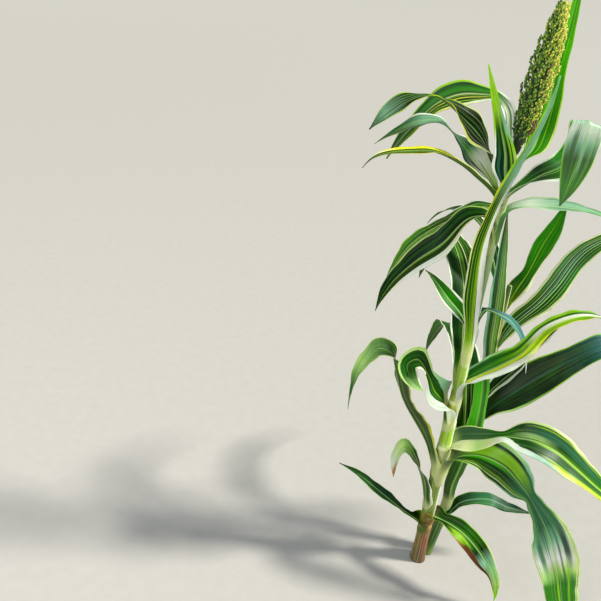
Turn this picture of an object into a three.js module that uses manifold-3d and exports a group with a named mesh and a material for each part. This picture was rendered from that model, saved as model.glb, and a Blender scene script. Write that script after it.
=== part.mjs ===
// A variegated sorghum plant: one main stem with a seed head, and a second, shorter stem
// from the same root. Millimetres, +Z up, ground level at Z = 0 under the main stem.
// Leaves stand mostly to the left (-X) and the right (+X), in two ranks.
import * as THREE from 'three';
import Module from 'manifold-3d';

const wasm = await Module();
wasm.setup();
const { Manifold, Mesh: SolidMesh } = wasm;

// Driving dimensions
const HEAD_BASE = 872;            // where the seed head starts on the main stem
const HEAD_LENGTH = 216;
const HEAD_RADIUS = 20;           // of the head's body, without the outer sprays
const HEAD_LEAN = 5;              // degrees, towards +X
const CLEARANCE = 0.3;            // between a leaf and the stem that carries it
const LEAF_THICKNESS = 0.0115;    // share of a leaf's length
const EDGE_THICKNESS = 0.75;      // share of the leaf's middle thickness
const STATION_SPACING = 26;       // along a leaf
const WAVE_LENGTH = 105;          // of the ripple in a leaf's margins
const STEPS = 8;                  // between two stations, where the blade is carried along
const ROOT_DEPTH = 0.6;           // share of the stem's radius at which a leaf starts
const CLASP_FOLD = 58;            // degrees, how far a blade is folded where it clasps the stem
const CLASP_LENGTH = 0.1;         // share of the length over which that fold opens
const COLLAR_WIDTH = 0.36;        // share of a blade's full width where it leaves the stem
const OPENED_AT = 0.3;            // share of the length at which a blade has its full width
const TAPER_FROM = 0.42;          // share of the length at which a blade starts to narrow
const TAPER_POWER = 0.85;         // below 1 the tip is fuller
const SHEATH_SWELL = 0.9;         // how much a sheath swells just below its collar
const SWELL_LENGTH = 18;
const COLLAR_STEP = 3;            // height over which a collar steps in
const SPRAY_COUNT = 46;
const SPRAY_RADIUS = 5.2;
const SPRAY_HALF_LENGTH = 17;
const SPRAY_TILT = 9;             // degrees, outwards from the head's own axis
const GOLDEN_ANGLE = 2.39996;     // radians

// Stems: points of the axis, then radius by height. The first point lies on the ground.
const stems = {
  main: {
    axis: [[0, 0, 0], [0, 0, 300], [0, 0, 600], [0, 0, 884]],
    radius: [[0, 16.5], [12, 15], [60, 13.6], [300, 12.6], [420, 10.5], [540, 8], [700, 6.6], [884, 5]],
    nodes: [118, 137, 251, 270, 319, 383, 428, 533],
    sides: 12,
    rise: 26,
  },
  second: {
    axis: [[22, 17.5, 0], [44, 37, 110], [60, 50, 260], [66, 56, 400], [66, 58, 640]],
    radius: [[0, 12], [15, 11], [200, 9.5], [400, 7.5], [540, 5.5], [640, 4]],
    nodes: [92, 140, 225, 296, 372, 430],
    sides: 10,
    rise: 30,
  },
};

// Leaves. node: height at which the leaf leaves its stem. heading: degrees from +X
// towards +Y. path: [reach from the stem, height, offset sideways, roll in degrees, share
// of the blade's usual width there].
// wave: height of the ripple. split: share of the length at which a leaf that bends
// round a wide gap is parted in two.
const leaves = [
  {
    name: 'leaf_lowest_right', stem: 'main', node: 137, heading: -38, width: 44, fold: 12, wave: 4,
    path: [[75, 140, 0, 20], [125, 113, 0, 50, 0.95], [160, 74, 0, 55, 0.6], [172, 14, 0, 20, 0.8]],
  },
  {
    name: 'leaf_lowest_left', stem: 'main', node: 108, heading: 183, width: 26, fold: 14, wave: 2,
    path: [[58, 146, 0, 0], [104, 190, 0, -20], [152, 235, 0, -20], [195, 265, 0, 0]],
  },
  {
    name: 'leaf_low_left_pale', stem: 'main', node: 176, heading: 170, width: 40, fold: 16, wave: 3,
    path: [[30, 235, 0, 20], [57, 285, 0, 0], [72, 300, 0, -20], [82, 275, 0, -40], [82, 215, 0, -40]],
  },
  {
    name: 'leaf_big_right_front', stem: 'main', node: 246, heading: -27, width: 92, fold: 12, wave: 5,
    path: [
      [26, 300, 0, 0, 1.3], [64, 327, 0, 10], [110, 326, 0, 40, 0.85], [146, 301, 0, 40, 0.7],
      [172, 276, 0, 20, 0.32], [219, 213, 0, 55, 0.85], [260, 130, 0, 60], [292, 45, 0, 45, 1.1],
      [330, 10, 0, 10], [385, 7, 0, 0],
    ],
    split: 0.3,
  },
  {
    name: 'leaf_mid_left_back', stem: 'main', node: 268, heading: 176, width: 54, fold: 20, wave: 3,
    path: [
      [36, 326, 0, 30], [92, 418, 0, 30], [115, 483, 0, 20], [128, 516, 0, 0], [152, 520, 0, -20],
      [180, 460, 0, -20], [190, 380, 0, 0],
    ],
    split: 0.6,
  },
  {
    name: 'leaf_wide_right', stem: 'main', node: 317, heading: -20, width: 72, fold: 14, wave: 3,
    path: [
      [19, 332, 0, 20, 1.5], [67, 358, 0, 25, 0.8], [97, 380, 0, 10, 0.4], [120, 386, 0, 25, 0.8],
      [150, 390, 0, 35, 0.95], [187, 381, 0, 35, 0.95], [220, 362, 0, 35, 0.9], [262, 335, 0, 30, 0.75],
      [320, 300, 0, 20, 0.6], [380, 254, 0, 10, 0.6],
    ],
  },
  {
    name: 'leaf_mid_left_white', stem: 'main', node: 383, heading: 196, width: 64, fold: 24, wave: 5,
    path: [
      [22, 425, 0, -20], [46, 456, 0, -60], [62, 488, 0, -60, 0.5], [90, 528, 0, -40, 0.85],
      [110, 523, 4, -40, 0.9], [106, 503, 16, -60, 1.2], [86, 484, 30, -60, 1.2],
    ],
    split: 0.68,
  },
  {
    name: 'leaf_mid_right', stem: 'main', node: 428, heading: 4, width: 54, fold: 24, wave: 4,
    path: [
      [11, 468, 0, 5], [33, 486, 0, 10], [66, 508, 0, 30, 0.9], [98, 534, 0, 30, 0.7],
      [130, 586, 0, 20, 0.65], [186, 614, 0, 0, 0.5], [250, 602, 0, 0, 0.6], [310, 560, 0, 0, 0.6],
    ],
  },
  {
    name: 'leaf_mid_back', stem: 'main', node: 460, heading: 97, width: 58, fold: 16, wave: 4,
    path: [[28, 545, 0, 0], [80, 635, 0, 0], [170, 670, 0, 0], [250, 620, 0, 0], [310, 520, 0, 0]],
    split: 0.5,
  },
  {
    name: 'leaf_upright_front', stem: 'main', node: 530, heading: -90, width: 40, fold: 30, wave: 2,
    path: [
      [14, 580, -5, 0, 0.9], [22, 648, -16, 0, 0.9], [30, 739, -26, 0, 0.65], [36, 810, -20, 0, 0.5],
      [40, 868, -6, 0, 0.5], [46, 915, 7, 0, 0.55], [52, 957, 14, 0, 0.6], [58, 998, 15, 0, 0.7],
    ],
  },
  {
    name: 'leaf_thin_left', stem: 'main', node: 574, heading: 148, width: 32, fold: 22, wave: 2,
    path: [[23, 600, 0, -20], [51, 622, 0, -30], [77, 645, 0, -30], [100, 660, 0, 0]],
  },
  {
    name: 'leaf_small_blue', stem: 'main', node: 596, heading: 18, width: 17, fold: 10, wave: 1,
    path: [[17, 616, 0, 0], [45, 606, 0, 20], [77, 586, 0, 40], [112, 541, 0, 60], [138, 470, 0, 40]],
  },
  {
    name: 'leaf_arch_left', stem: 'main', node: 745, heading: 172, width: 48, fold: 16, wave: 3,
    path: [
      [18, 780, 0, 0, 0.8], [45, 774, 0, -20], [76, 728, 0, -40], [112, 692, 0, -45], [146, 645, 0, -40],
      [165, 590, 0, -30],
    ],
    split: 0.5,
  },
  {
    name: 'leaf_arch_left_behind', stem: 'main', node: 770, heading: 166, width: 36, fold: 14, wave: 3,
    path: [
      [9, 788, -14, 0, 0.6], [30, 782, -29, -10, 0.8], [56, 762, -35, -20], [94, 732, -34, -35, 1.2],
      [120, 706, -33, -40, 1.3], [140, 674, -33, -35, 1.3], [158, 635, -33, -20],
    ],
    split: 0.5,
  },
  {
    name: 'leaf_level_right', stem: 'main', node: 762, heading: 354, width: 32, fold: 16, wave: 2,
    path: [[12, 794, 0, 0], [42, 806, 0, 10], [109, 808, 0, 10], [160, 798, 0, 0], [225, 766, 0, 0]],
  },
  {
    name: 'leaf_band_left', stem: 'main', node: 800, heading: 194, width: 30, fold: 14, wave: 1,
    path: [
      [20, 822, 0, 0], [54, 848, 0, 0], [82, 866, 0, 0], [120, 882, 0, 0], [150, 884, 0, -10],
      [205, 878, 0, -10], [228, 860, 0, 0],
    ],
  },
  {
    name: 'leaf_upright_left', stem: 'main', node: 824, heading: -90, width: 33, fold: 20, wave: 1,
    path: [
      [16, 844, -8, 0], [22, 864, -15, 0, 1.2], [26, 889, -22, 0, 0.9], [30, 928, -39, 0, 0.55],
      [32, 962, -54, 0, 0.5], [32, 1002, -71, 0, 0.6],
    ],
  },
  {
    name: 'leaf_high_left', stem: 'main', node: 808, heading: 173, width: 46, fold: 12, wave: 3,
    path: [
      [22, 834, 0, -20, 0.9], [65, 877, 0, -30, 1.15], [90, 901, 0, 0, 0.6], [111, 914, 0, 0, 0.9],
      [142, 910, 0, -20], [172, 896, 0, -20], [202, 874, 0, 0],
    ],
  },
  {
    name: 'leaf_curled_right', stem: 'main', node: 816, heading: -6, width: 48, fold: 10, wave: 2,
    path: [
      [16, 828, 0, 0, 0.7], [43, 852, 0, 20], [72, 872, 0, 50, 0.9], [84, 908, -3, 80, 0.8],
      [84, 936, -10, 80], [83, 938, -24, 80], [80, 912, -32, 80, 1.25], [78, 868, -36, 80, 1.55],
      [72, 822, -34, 80, 1.6],
    ],
    split: 0.5,
  },
  {
    name: 'leaf_top_left', stem: 'main', node: 832, heading: 177, width: 46, fold: 12, wave: 4,
    path: [
      [30, 868, -5, 0, 0.7], [46, 893, -3, -25, 1], [62, 909, 0, -35, 1.2], [84, 926, 0, -20, 1.05],
      [104, 941, 0, -10, 0.5], [124, 950, 0, -10, 0.45], [148, 950, 0, -20, 0.55],
      [170, 940, 0, -35, 0.95], [191, 922, 0, -40, 1.3], [212, 898, 0, -40, 1.3],
    ],
    split: 0.5,
  },
  {
    name: 'leaf_wide_back', stem: 'main', node: 840, heading: 94, width: 46, fold: 8, wave: 3,
    path: [
      [10, 868, -2, 0, 0.5], [20, 884, 1, 0, 0.6], [26, 908, 5, 0, 0.55], [32, 934, 11, 0, 0.55],
      [44, 950, 26, 0, 0.45], [58, 951, 50, 0, 0.75], [64, 947, 80, 0], [66, 930, 111, 0],
      [64, 886, 148, 0], [64, 846, 172, 0],
    ],
    split: 0.5,
  },
  {
    name: 'leaf_flag', stem: 'main', node: 860, heading: 5, width: 34, fold: 12, wave: 1,
    path: [
      [16, 870, 1, 20, 0.5], [32, 886, 14, 60, 1.2], [41, 908, 26, 75, 1.3], [46, 950, 31, 75, 1.15],
      [46, 995, 33, 75, 0.85], [47, 1032, 31, 75, 0.85], [47, 1070, 29, 75, 0.9], [46, 1118, 27, 75],
    ],
  },
  {
    name: 'leaf_second_low', stem: 'second', node: 92, heading: -5, width: 30, fold: 12, wave: 3,
    path: [[34, 140, 0, 0], [82, 164, -6, 20], [125, 150, -6, 20], [180, 138, -4, 0]],
  },
  {
    name: 'leaf_second_bright', stem: 'second', node: 140, heading: -90, width: 34, fold: 16, wave: 2,
    path: [
      [13, 190, -3, 0], [16, 225, 0, 0], [21, 321, 8, 0, 0.9], [24, 400, 6, 0, 1.1], [22, 458, 0, 0, 1.6],
      [20, 500, -12, 0, 2],
    ],
  },
  {
    name: 'leaf_second_back', stem: 'second', node: 225, heading: 96, width: 60, fold: 16, wave: 4,
    path: [[26, 320, 0, 0], [90, 420, 0, 0], [180, 450, 0, 0], [260, 400, 0, 0], [320, 290, 0, 0]],
    split: 0.5,
  },
  {
    name: 'leaf_second_dark_wide', stem: 'second', node: 296, heading: 6, width: 70, fold: 12, wave: 3,
    path: [
      [22, 362, 0, 0], [59, 404, 0, 25], [104, 446, 0, 35], [164, 493, 0, 35, 0.75],
      [212, 520, 0, 25, 0.85], [290, 526, 0, 10, 1.2], [365, 480, 0, 0, 1.2],
    ],
    split: 0.55,
  },
  {
    name: 'leaf_second_right', stem: 'second', node: 372, heading: 20, width: 42, fold: 14, wave: 2,
    path: [[16, 404, 0, 0, 0.8], [74, 464, 0, -20], [122, 526, 0, -20], [160, 568, 0, 0]],
  },
  {
    name: 'leaf_second_upright', stem: 'second', node: 430, heading: -90, width: 30, fold: 28, wave: 2,
    path: [
      [16, 505, -9, 0, 0.8], [16, 545, -14, 0], [18, 620, -21, 0], [22, 705, -33, 0], [24, 782, -44, 0],
    ],
  },
  {
    name: 'leaf_second_high_right', stem: 'second', node: 478, heading: 10, width: 48, fold: 16, wave: 3,
    path: [
      [9, 514, 0, 0, 0.8], [30, 558, 0, 0], [67, 600, 0, 20], [90, 638, 0, 20], [116, 696, 0, 20],
      [150, 723, 0, 10], [210, 738, 0, 0], [270, 716, 0, 0],
    ],
    split: 0.5,
  },
  {
    name: 'leaf_second_top_right', stem: 'second', node: 590, heading: 34, width: 38, fold: 12, wave: 2,
    path: [
      [26, 624, 3, 20], [44, 655, 2, 60, 0.7], [60, 706, 0, 60, 1.2], [74, 745, -5, 60, 1.25],
      [82, 784, -8, 60, 1.1],
    ],
  },
  {
    name: 'leaf_second_top_back', stem: 'second', node: 540, heading: 134, width: 36, fold: 14, wave: 3,
    path: [[16, 600, 0, 0], [42, 672, 0, 0], [85, 728, 0, 0], [140, 735, 0, 0], [190, 690, 0, 0]],
    split: 0.55,
  },
];

// Value at x of a curve given by [x, value] pairs, straight between them.
function between(pairs, x) {
  const last = pairs.length - 1;
  if (x <= pairs[0][0]) {
    return pairs[0][1];
  }
  for (let i = 0; i < last; i += 1) {
    const [x0, v0] = pairs[i];
    const [x1, v1] = pairs[i + 1];
    if (x <= x1) {
      return v0 + ((v1 - v0) * (x - x0)) / (x1 - x0);
    }
  }
  return pairs[last][1];
}

// A smooth curve through points of any dimension, at share u of the way along the chords.
function smoothPath(points) {
  const chord = [0];
  for (let i = 1; i < points.length; i += 1) {
    const step = Math.hypot(...[0, 1, 2].map((k) => points[i][k] - points[i - 1][k]));
    chord.push(chord[i - 1] + step);
  }
  const last = points.length - 1;
  const slope = (i, j, k) => (points[j][k] - points[i][k]) / (chord[j] - chord[i]);
  const tangent = (i, k) => {
    if (i === 0) {
      return last > 1 ? 2 * slope(0, 1, k) - slope(0, 2, k) : slope(0, 1, k);
    }
    if (i === last) {
      return last > 1 ? 2 * slope(last - 1, last, k) - slope(last - 2, last, k) : slope(0, 1, k);
    }
    return slope(i - 1, i + 1, k);
  };
  return {
    length: chord[last],
    at(u) {
      const d = Math.min(Math.max(u, 0), 1) * chord[last];
      let i = 0;
      while (i < last - 1 && d > chord[i + 1]) {
        i += 1;
      }
      const h = chord[i + 1] - chord[i];
      const t = (d - chord[i]) / h;
      const a = (1 + 2 * t) * (1 - t) ** 2;
      const b = t * (1 - t) ** 2 * h;
      const c = t * t * (3 - 2 * t);
      const e = t * t * (t - 1) * h;
      return points[i].map((v, k) => (
        a * v + b * tangent(i, k) + c * points[i + 1][k] + e * tangent(i + 1, k)
      ));
    },
  };
}

// Closed surface over rings of equal size. Each end is closed by the given triangles.
function overRings(rings, cap) {
  const n = rings[0].length;
  const positions = rings.flat().flatMap((p) => [p.x, p.y, p.z]);
  const faces = [];
  for (let i = 0; i + 1 < rings.length; i += 1) {
    for (let j = 0; j < n; j += 1) {
      const a = i * n + j;
      const b = i * n + ((j + 1) % n);
      faces.push(a, b, b + n, a, b + n, a + n);
    }
  }
  const top = (rings.length - 1) * n;
  for (const [a, b, c] of cap) {
    faces.push(a, c, b);
    faces.push(top + a, top + b, top + c);
  }
  const geometry = new THREE.BufferGeometry();
  geometry.setAttribute('position', new THREE.Float32BufferAttribute(positions, 3));
  geometry.setIndex(faces);
  return geometry;
}

function fanCap(n) {
  return Array.from({ length: n - 2 }, (_, i) => [0, i + 1, i + 2]);
}

function toSolid(geometry) {
  return new Manifold(new SolidMesh({
    numProp: 3,
    vertProperties: new Float32Array(geometry.attributes.position.array),
    triVerts: new Uint32Array(geometry.index.array),
  }));
}

function toGeometry(solid) {
  const { vertProperties, triVerts, numProp } = solid.getMesh();
  const geometry = new THREE.BufferGeometry();
  const positions = [];
  for (let i = 0; i < vertProperties.length; i += numProp) {
    positions.push(vertProperties[i], vertProperties[i + 1], vertProperties[i + 2]);
  }
  geometry.setAttribute('position', new THREE.Float32BufferAttribute(positions, 3));
  geometry.setIndex(Array.from(triVerts));
  geometry.computeVertexNormals();
  return geometry;
}

function largestPiece(solid) {
  const pieces = solid.decompose();
  pieces.sort((a, b) => b.volume() - a.volume());
  return pieces[0];
}

// A stem in its sheaths. Each sheath swells a little up to its collar and steps in above it.
function stemRadius(stem, z) {
  const swell = stem.nodes.map((node) => (z <= node ? Math.exp(-(node - z) / SWELL_LENGTH) : 0));
  return between(stem.radius, z) + SHEATH_SWELL * Math.max(0, ...swell);
}

function stemGeometry(stem, extra = 0) {
  const path = smoothPath(stem.axis);
  const top = stem.axis[stem.axis.length - 1][2];
  const heights = new Set([0, top]);
  for (let z = stem.rise; z < top - 2 * COLLAR_STEP; z += stem.rise) {
    heights.add(z);
  }
  for (const node of stem.nodes) {
    heights.add(node);
    heights.add(node + COLLAR_STEP);
  }
  const sorted = [...heights].sort((a, b) => a - b);
  const rings = sorted.map((z) => {
    const [x, y] = axisAt(stem, path, z);
    const r = stemRadius(stem, z) + extra;
    return Array.from({ length: stem.sides }, (_, j) => {
      const turn = (2 * Math.PI * j) / stem.sides;
      return new THREE.Vector3(x + r * Math.cos(turn), y + r * Math.sin(turn), z);
    });
  });
  return overRings(rings, fanCap(stem.sides));
}

// Centre of a stem at height z.
function axisAt(stem, path, z) {
  let low = 0;
  let high = 1;
  for (let i = 0; i < 30; i += 1) {
    const middle = (low + high) / 2;
    if (path.at(middle)[2] < z) {
      low = middle;
    } else {
      high = middle;
    }
  }
  return path.at((low + high) / 2);
}

// Width of a blade at share s of its length, as a share of its full width.
function bladeWidth(s) {
  const opened = Math.sin((Math.PI / 2) * Math.min(1, s / OPENED_AT));
  const narrowed = Math.max(0, (s - TAPER_FROM) / (1 - TAPER_FROM));
  const taper = Math.max(0, Math.cos((Math.PI / 2) * narrowed)) ** TAPER_POWER;
  return (COLLAR_WIDTH + (1 - COLLAR_WIDTH) * opened) * taper;
}

// One section of a leaf: the midrib's place, the directions across and out of the blade.
function bladeSection(leaf, path, s, along, sideways, phase) {
  const [x, y, z, rollDegrees, share] = path.at(s);
  const upper = new THREE.Vector3().crossVectors(along, sideways);
  const roll = THREE.MathUtils.degToRad(rollDegrees);
  const side = sideways.clone().multiplyScalar(Math.cos(roll)).addScaledVector(upper, Math.sin(roll));
  const wave = leaf.wave * Math.min(1, s * 5) * Math.min(1, (1 - s) * 4);
  const turn = (2 * Math.PI * s * path.length) / WAVE_LENGTH + phase;
  return {
    middle: new THREE.Vector3(x, y, z),
    side,
    face: new THREE.Vector3().crossVectors(along, side),
    half: Math.max(1.5, (leaf.width / 2) * bladeWidth(s) * share),
    fold: THREE.MathUtils.degToRad(leaf.fold + (CLASP_FOLD - leaf.fold) * Math.exp(-s / CLASP_LENGTH)),
    lift: [wave * Math.sin(turn), wave * Math.sin(turn * 0.83 + 1.9)],
  };
}

// Sections of a leaf from its root to its tip. The blade is carried along its midrib
// without twisting, and the roll of each place is added to that.
function bladeSections(leaf) {
  const stem = stems[leaf.stem];
  const foot = axisAt(stem, smoothPath(stem.axis), leaf.node);
  const heading = THREE.MathUtils.degToRad(leaf.heading);
  const out = new THREE.Vector3(Math.cos(heading), Math.sin(heading), 0);
  const across = new THREE.Vector3(-Math.sin(heading), Math.cos(heading), 0);
  const start = ROOT_DEPTH * stemRadius(stem, leaf.node);
  const knots = [[start, leaf.node, 0, 0], ...leaf.path].map(([reach, height, offset, roll, share = 1]) => [
    foot[0] + out.x * reach + across.x * offset,
    foot[1] + out.y * reach + across.y * offset,
    height,
    roll,
    share,
  ]);
  const path = smoothPath(knots);
  const count = Math.max(8, Math.round(path.length / STATION_SPACING));
  const phase = leaf.node * 0.37;
  const sections = [];
  let sideways = across;
  for (let i = 0; i <= count * STEPS; i += 1) {
    const s = i / (count * STEPS);
    const before = path.at(s - 0.005);
    const after = path.at(s + 0.005);
    const along = new THREE.Vector3(...[0, 1, 2].map((k) => after[k] - before[k])).normalize();
    sideways = sideways.clone().addScaledVector(along, -sideways.dot(along)).normalize();
    if (i % STEPS === 0) {
      sections.push(bladeSection(leaf, path, s, along, sideways, phase));
    }
  }
  return { sections, length: path.length };
}

// Six points round a blade's section: upper face left to right, then lower face back.
function bladeRing(section, thickness) {
  const { middle, side, face, half, fold, lift } = section;
  const edge = (sign, wave, level) => middle.clone()
    .addScaledVector(side, sign * half * Math.cos(fold))
    .addScaledVector(face, half * Math.sin(fold) + wave + level * thickness * EDGE_THICKNESS);
  const mid = (level) => middle.clone().addScaledVector(face, level * thickness);
  return [
    edge(-1, lift[0], 0.5), edge(-1, lift[0], -0.5), mid(-0.5),
    edge(1, lift[1], -0.5), edge(1, lift[1], 0.5), mid(0.5),
  ];
}

const BLADE_CAP = [[0, 1, 2], [0, 2, 5], [5, 2, 3], [5, 3, 4]];

function leafSolids(leaf, grownStems) {
  const { sections, length } = bladeSections(leaf);
  const thickness = length * LEAF_THICKNESS;
  const rings = sections.map((section) => bladeRing(section, thickness));
  const cut = leaf.split ? Math.round(leaf.split * (rings.length - 1)) : rings.length - 1;
  const parts = [[leaf.name, rings.slice(0, cut + 1)]];
  if (leaf.split) {
    const step = rings[cut + 1].map((p, j) => p.clone().sub(rings[cut][j]));
    const gap = CLEARANCE / step[2].length();
    const start = rings[cut].map((p, j) => p.clone().addScaledVector(step[j], gap));
    parts.push([`${leaf.name}_end`, [start, ...rings.slice(cut + 1)]]);
  }
  return parts.map(([name, part]) => {
    let solid = toSolid(overRings(part, BLADE_CAP));
    for (const grown of grownStems) {
      solid = solid.subtract(grown);
    }
    return [name, largestPiece(solid)];
  });
}

// The seed head: a spindle with short sprays set round it on a spiral, leaning on its stalk.
function headSolid() {
  const profile = [[0, 0.2], [0.08, 0.42], [0.25, 0.78], [0.5, 0.95], [0.72, 0.8], [0.9, 0.42], [1, 0.12]];
  const rings = Array.from({ length: 13 }, (_, i) => {
    const s = i / 12;
    const r = HEAD_RADIUS * between(profile, s) * 0.85;
    return Array.from({ length: 12 }, (unused, j) => {
      const turn = (Math.PI * j) / 6;
      return new THREE.Vector3(r * Math.cos(turn), r * Math.sin(turn), 4 + s * (HEAD_LENGTH - 8));
    });
  });
  let head = toSolid(overRings(rings, fanCap(12)));
  for (let i = 0; i < SPRAY_COUNT; i += 1) {
    const s = 0.05 + (0.86 * i) / SPRAY_COUNT;
    const r = HEAD_RADIUS * between(profile, s) * 0.86;
    const spray = new THREE.SphereGeometry(1, 5, 4);
    spray.scale(SPRAY_RADIUS, SPRAY_RADIUS, SPRAY_HALF_LENGTH);
    spray.rotateY(THREE.MathUtils.degToRad(SPRAY_TILT));
    spray.translate(r, 0, 12 + s * (HEAD_LENGTH - 26));
    spray.rotateZ(i * GOLDEN_ANGLE);
    head = head.add(toSolid(withoutSeams(spray)));
  }
  const lean = new THREE.Matrix4().makeRotationY(THREE.MathUtils.degToRad(HEAD_LEAN));
  lean.setPosition(0, 0, HEAD_BASE);
  return head.transform(lean.elements);
}

// The same geometry with one vertex at each place, as a solid needs.
function withoutSeams(geometry) {
  const places = new Map();
  const position = geometry.attributes.position;
  const positions = [];
  const index = [];
  for (let i = 0; i < position.count; i += 1) {
    const p = [position.getX(i), position.getY(i), position.getZ(i)];
    const key = p.map((v) => Math.round(v * 1000)).join();
    if (!places.has(key)) {
      places.set(key, places.size);
      positions.push(...p);
    }
    index.push(places.get(key));
  }
  const faces = [];
  const old = geometry.index.array;
  for (let i = 0; i < old.length; i += 3) {
    const [a, b, c] = [index[old[i]], index[old[i + 1]], index[old[i + 2]]];
    if (a !== b && b !== c && c !== a) {
      faces.push(a, b, c);
    }
  }
  const merged = new THREE.BufferGeometry();
  merged.setAttribute('position', new THREE.Float32BufferAttribute(positions, 3));
  merged.setIndex(faces);
  return merged;
}

const colours = { stem: 0xa9b878, leaf: 0x3f7a3a, head: 0x93a23c };

function named(name, solid, colour) {
  const material = new THREE.MeshStandardMaterial({ color: colour, roughness: 0.6 });
  const mesh = new THREE.Mesh(toGeometry(solid), material);
  mesh.name = name;
  return mesh;
}

const plant = new THREE.Group();
plant.name = 'sorghum_plant';

const mainStem = toSolid(stemGeometry(stems.main));
const mainGrown = toSolid(stemGeometry(stems.main, CLEARANCE));
const secondStem = toSolid(stemGeometry(stems.second)).subtract(mainGrown);
const secondGrown = toSolid(stemGeometry(stems.second, CLEARANCE));
const head = headSolid().subtract(mainGrown);

plant.add(named('main_stem', mainStem, colours.stem));
plant.add(named('second_stem', largestPiece(secondStem), colours.stem));
plant.add(named('seed_head', largestPiece(head), colours.head));
for (const leaf of leaves) {
  for (const [name, solid] of leafSolids(leaf, [mainGrown, secondGrown])) {
    plant.add(named(name, solid, colours.leaf));
  }
}

export default plant;
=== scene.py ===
# A variegated sorghum plant: a main stem with a seed head, a second stem from the same root,
# and striped leaves in two ranks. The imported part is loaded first, as the frame that every
# piece follows. Places are in millimetres until a mesh is made.
import math
import random

import bpy
import numpy as np
from mathutils import Matrix


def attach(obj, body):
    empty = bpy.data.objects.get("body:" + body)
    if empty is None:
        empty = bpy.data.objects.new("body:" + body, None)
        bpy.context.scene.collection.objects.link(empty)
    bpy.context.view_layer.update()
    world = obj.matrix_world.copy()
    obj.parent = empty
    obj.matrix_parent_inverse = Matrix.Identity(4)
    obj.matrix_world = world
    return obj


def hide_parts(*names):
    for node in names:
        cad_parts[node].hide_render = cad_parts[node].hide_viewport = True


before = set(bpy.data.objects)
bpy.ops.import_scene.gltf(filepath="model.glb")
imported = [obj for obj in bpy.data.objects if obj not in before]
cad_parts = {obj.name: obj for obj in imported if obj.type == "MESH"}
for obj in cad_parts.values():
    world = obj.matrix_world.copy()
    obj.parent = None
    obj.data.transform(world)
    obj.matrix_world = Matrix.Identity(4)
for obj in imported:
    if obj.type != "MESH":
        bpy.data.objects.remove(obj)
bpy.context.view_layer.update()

scene = bpy.context.scene


# Camera. It stands 1.1 m above the ground, a step in front of the plant and to its left, and
# looks down at it. The frame is turned a little about the line of sight, as a hand-held one is.
CAMERA_PLACE = (-0.293, -0.873, 1.10)
CAMERA_PITCH = math.radians(29.2)
CAMERA_TURN = math.radians(4.22)
CAMERA_SENSOR = 36
CAMERA_LENS = 35.94

look_level = np.array([0, math.cos(CAMERA_PITCH), -math.sin(CAMERA_PITCH)])
look_up = np.array([0, math.sin(CAMERA_PITCH), math.cos(CAMERA_PITCH)])
look_right = np.array([1.0, 0, 0])
camera_x = look_right * math.cos(CAMERA_TURN) + look_up * math.sin(CAMERA_TURN)
camera_y = look_up * math.cos(CAMERA_TURN) - look_right * math.sin(CAMERA_TURN)
camera_data = bpy.data.cameras.new("camera")
camera_data.sensor_width = CAMERA_SENSOR
camera_data.lens = CAMERA_LENS
camera = bpy.data.objects.new("camera", camera_data)
camera_axes = np.array([camera_x, camera_y, -look_level]).T
camera.matrix_world = Matrix.Translation(CAMERA_PLACE) @ Matrix(camera_axes.tolist()).to_4x4()
scene.collection.objects.link(camera)
scene.camera = camera


# Main stem. A cane wrapped in leaf sheaths, one above the other. Each sheath swells a little
# up to its collar, and its two margins overlap in a seam on the side away from its leaf.
MAIN_STEM = {
    "axis": [(0, 0, 0), (0, 0, 300), (0, 0, 600), (0, 0, 884)],
    "radius": [(0, 16.5), (12, 15), (60, 13.6), (300, 12.6), (420, 10.5), (540, 8), (700, 6.6), (884, 5)],
    "nodes": [118, 137, 251, 270, 319, 383, 428, 533],
    "seams": [(118, 40), (137, 150), (251, 150), (270, -60), (319, 170), (383, 30), (428, 190),
              (533, 95), (760, 200), (900, 20)],
    "pale_collars": [251, 270, 319, 383, 428, 533],
    "bands": [(20, "brown"), (50, "rust"), (96, "rust"), (110, "tan"), (118, "brown"), (126, "tan"),
              (136, "olive"), (236, "olive"), (262, "cream"), (285, "olive"), (315, "cream"),
              (335, "lime"), (372, "lime"), (384, "cream"), (400, "olive"), (428, "yellow"),
              (445, "olive"), (510, "lime"), (533, "yellow"), (550, "white"), (580, "green"),
              (760, "pale"), (884, "green")],
}
STEM_SIDES = 72
STEM_RISE = 3
COLLAR_RINGS = (0.2, 0.6, 1.4)
SHEATH_SWELL = 0.9
SWELL_LENGTH = 18
RIB_COUNT = 34
RIB_DEPTH = 0.07
RIB_DRIFT = 0.6
RIB_DRIFT_RISE = 90
SEAM_DEPTH = 0.5
SEAM_WIDTH = 0.06
HEIGHT_SEARCH_STEPS = 30
BLOTCH_SCALE = (2.2, 2.2, 26)
STREAK_SCALE = (7, 7, 4)
BAND_RAGGEDNESS = 0.03
PAINTED_RIBS = 46
COLLAR_LINE = (0.006, 0.001)


def between(pairs, x):
    return float(np.interp(x, [p[0] for p in pairs], [p[1] for p in pairs]))


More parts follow.
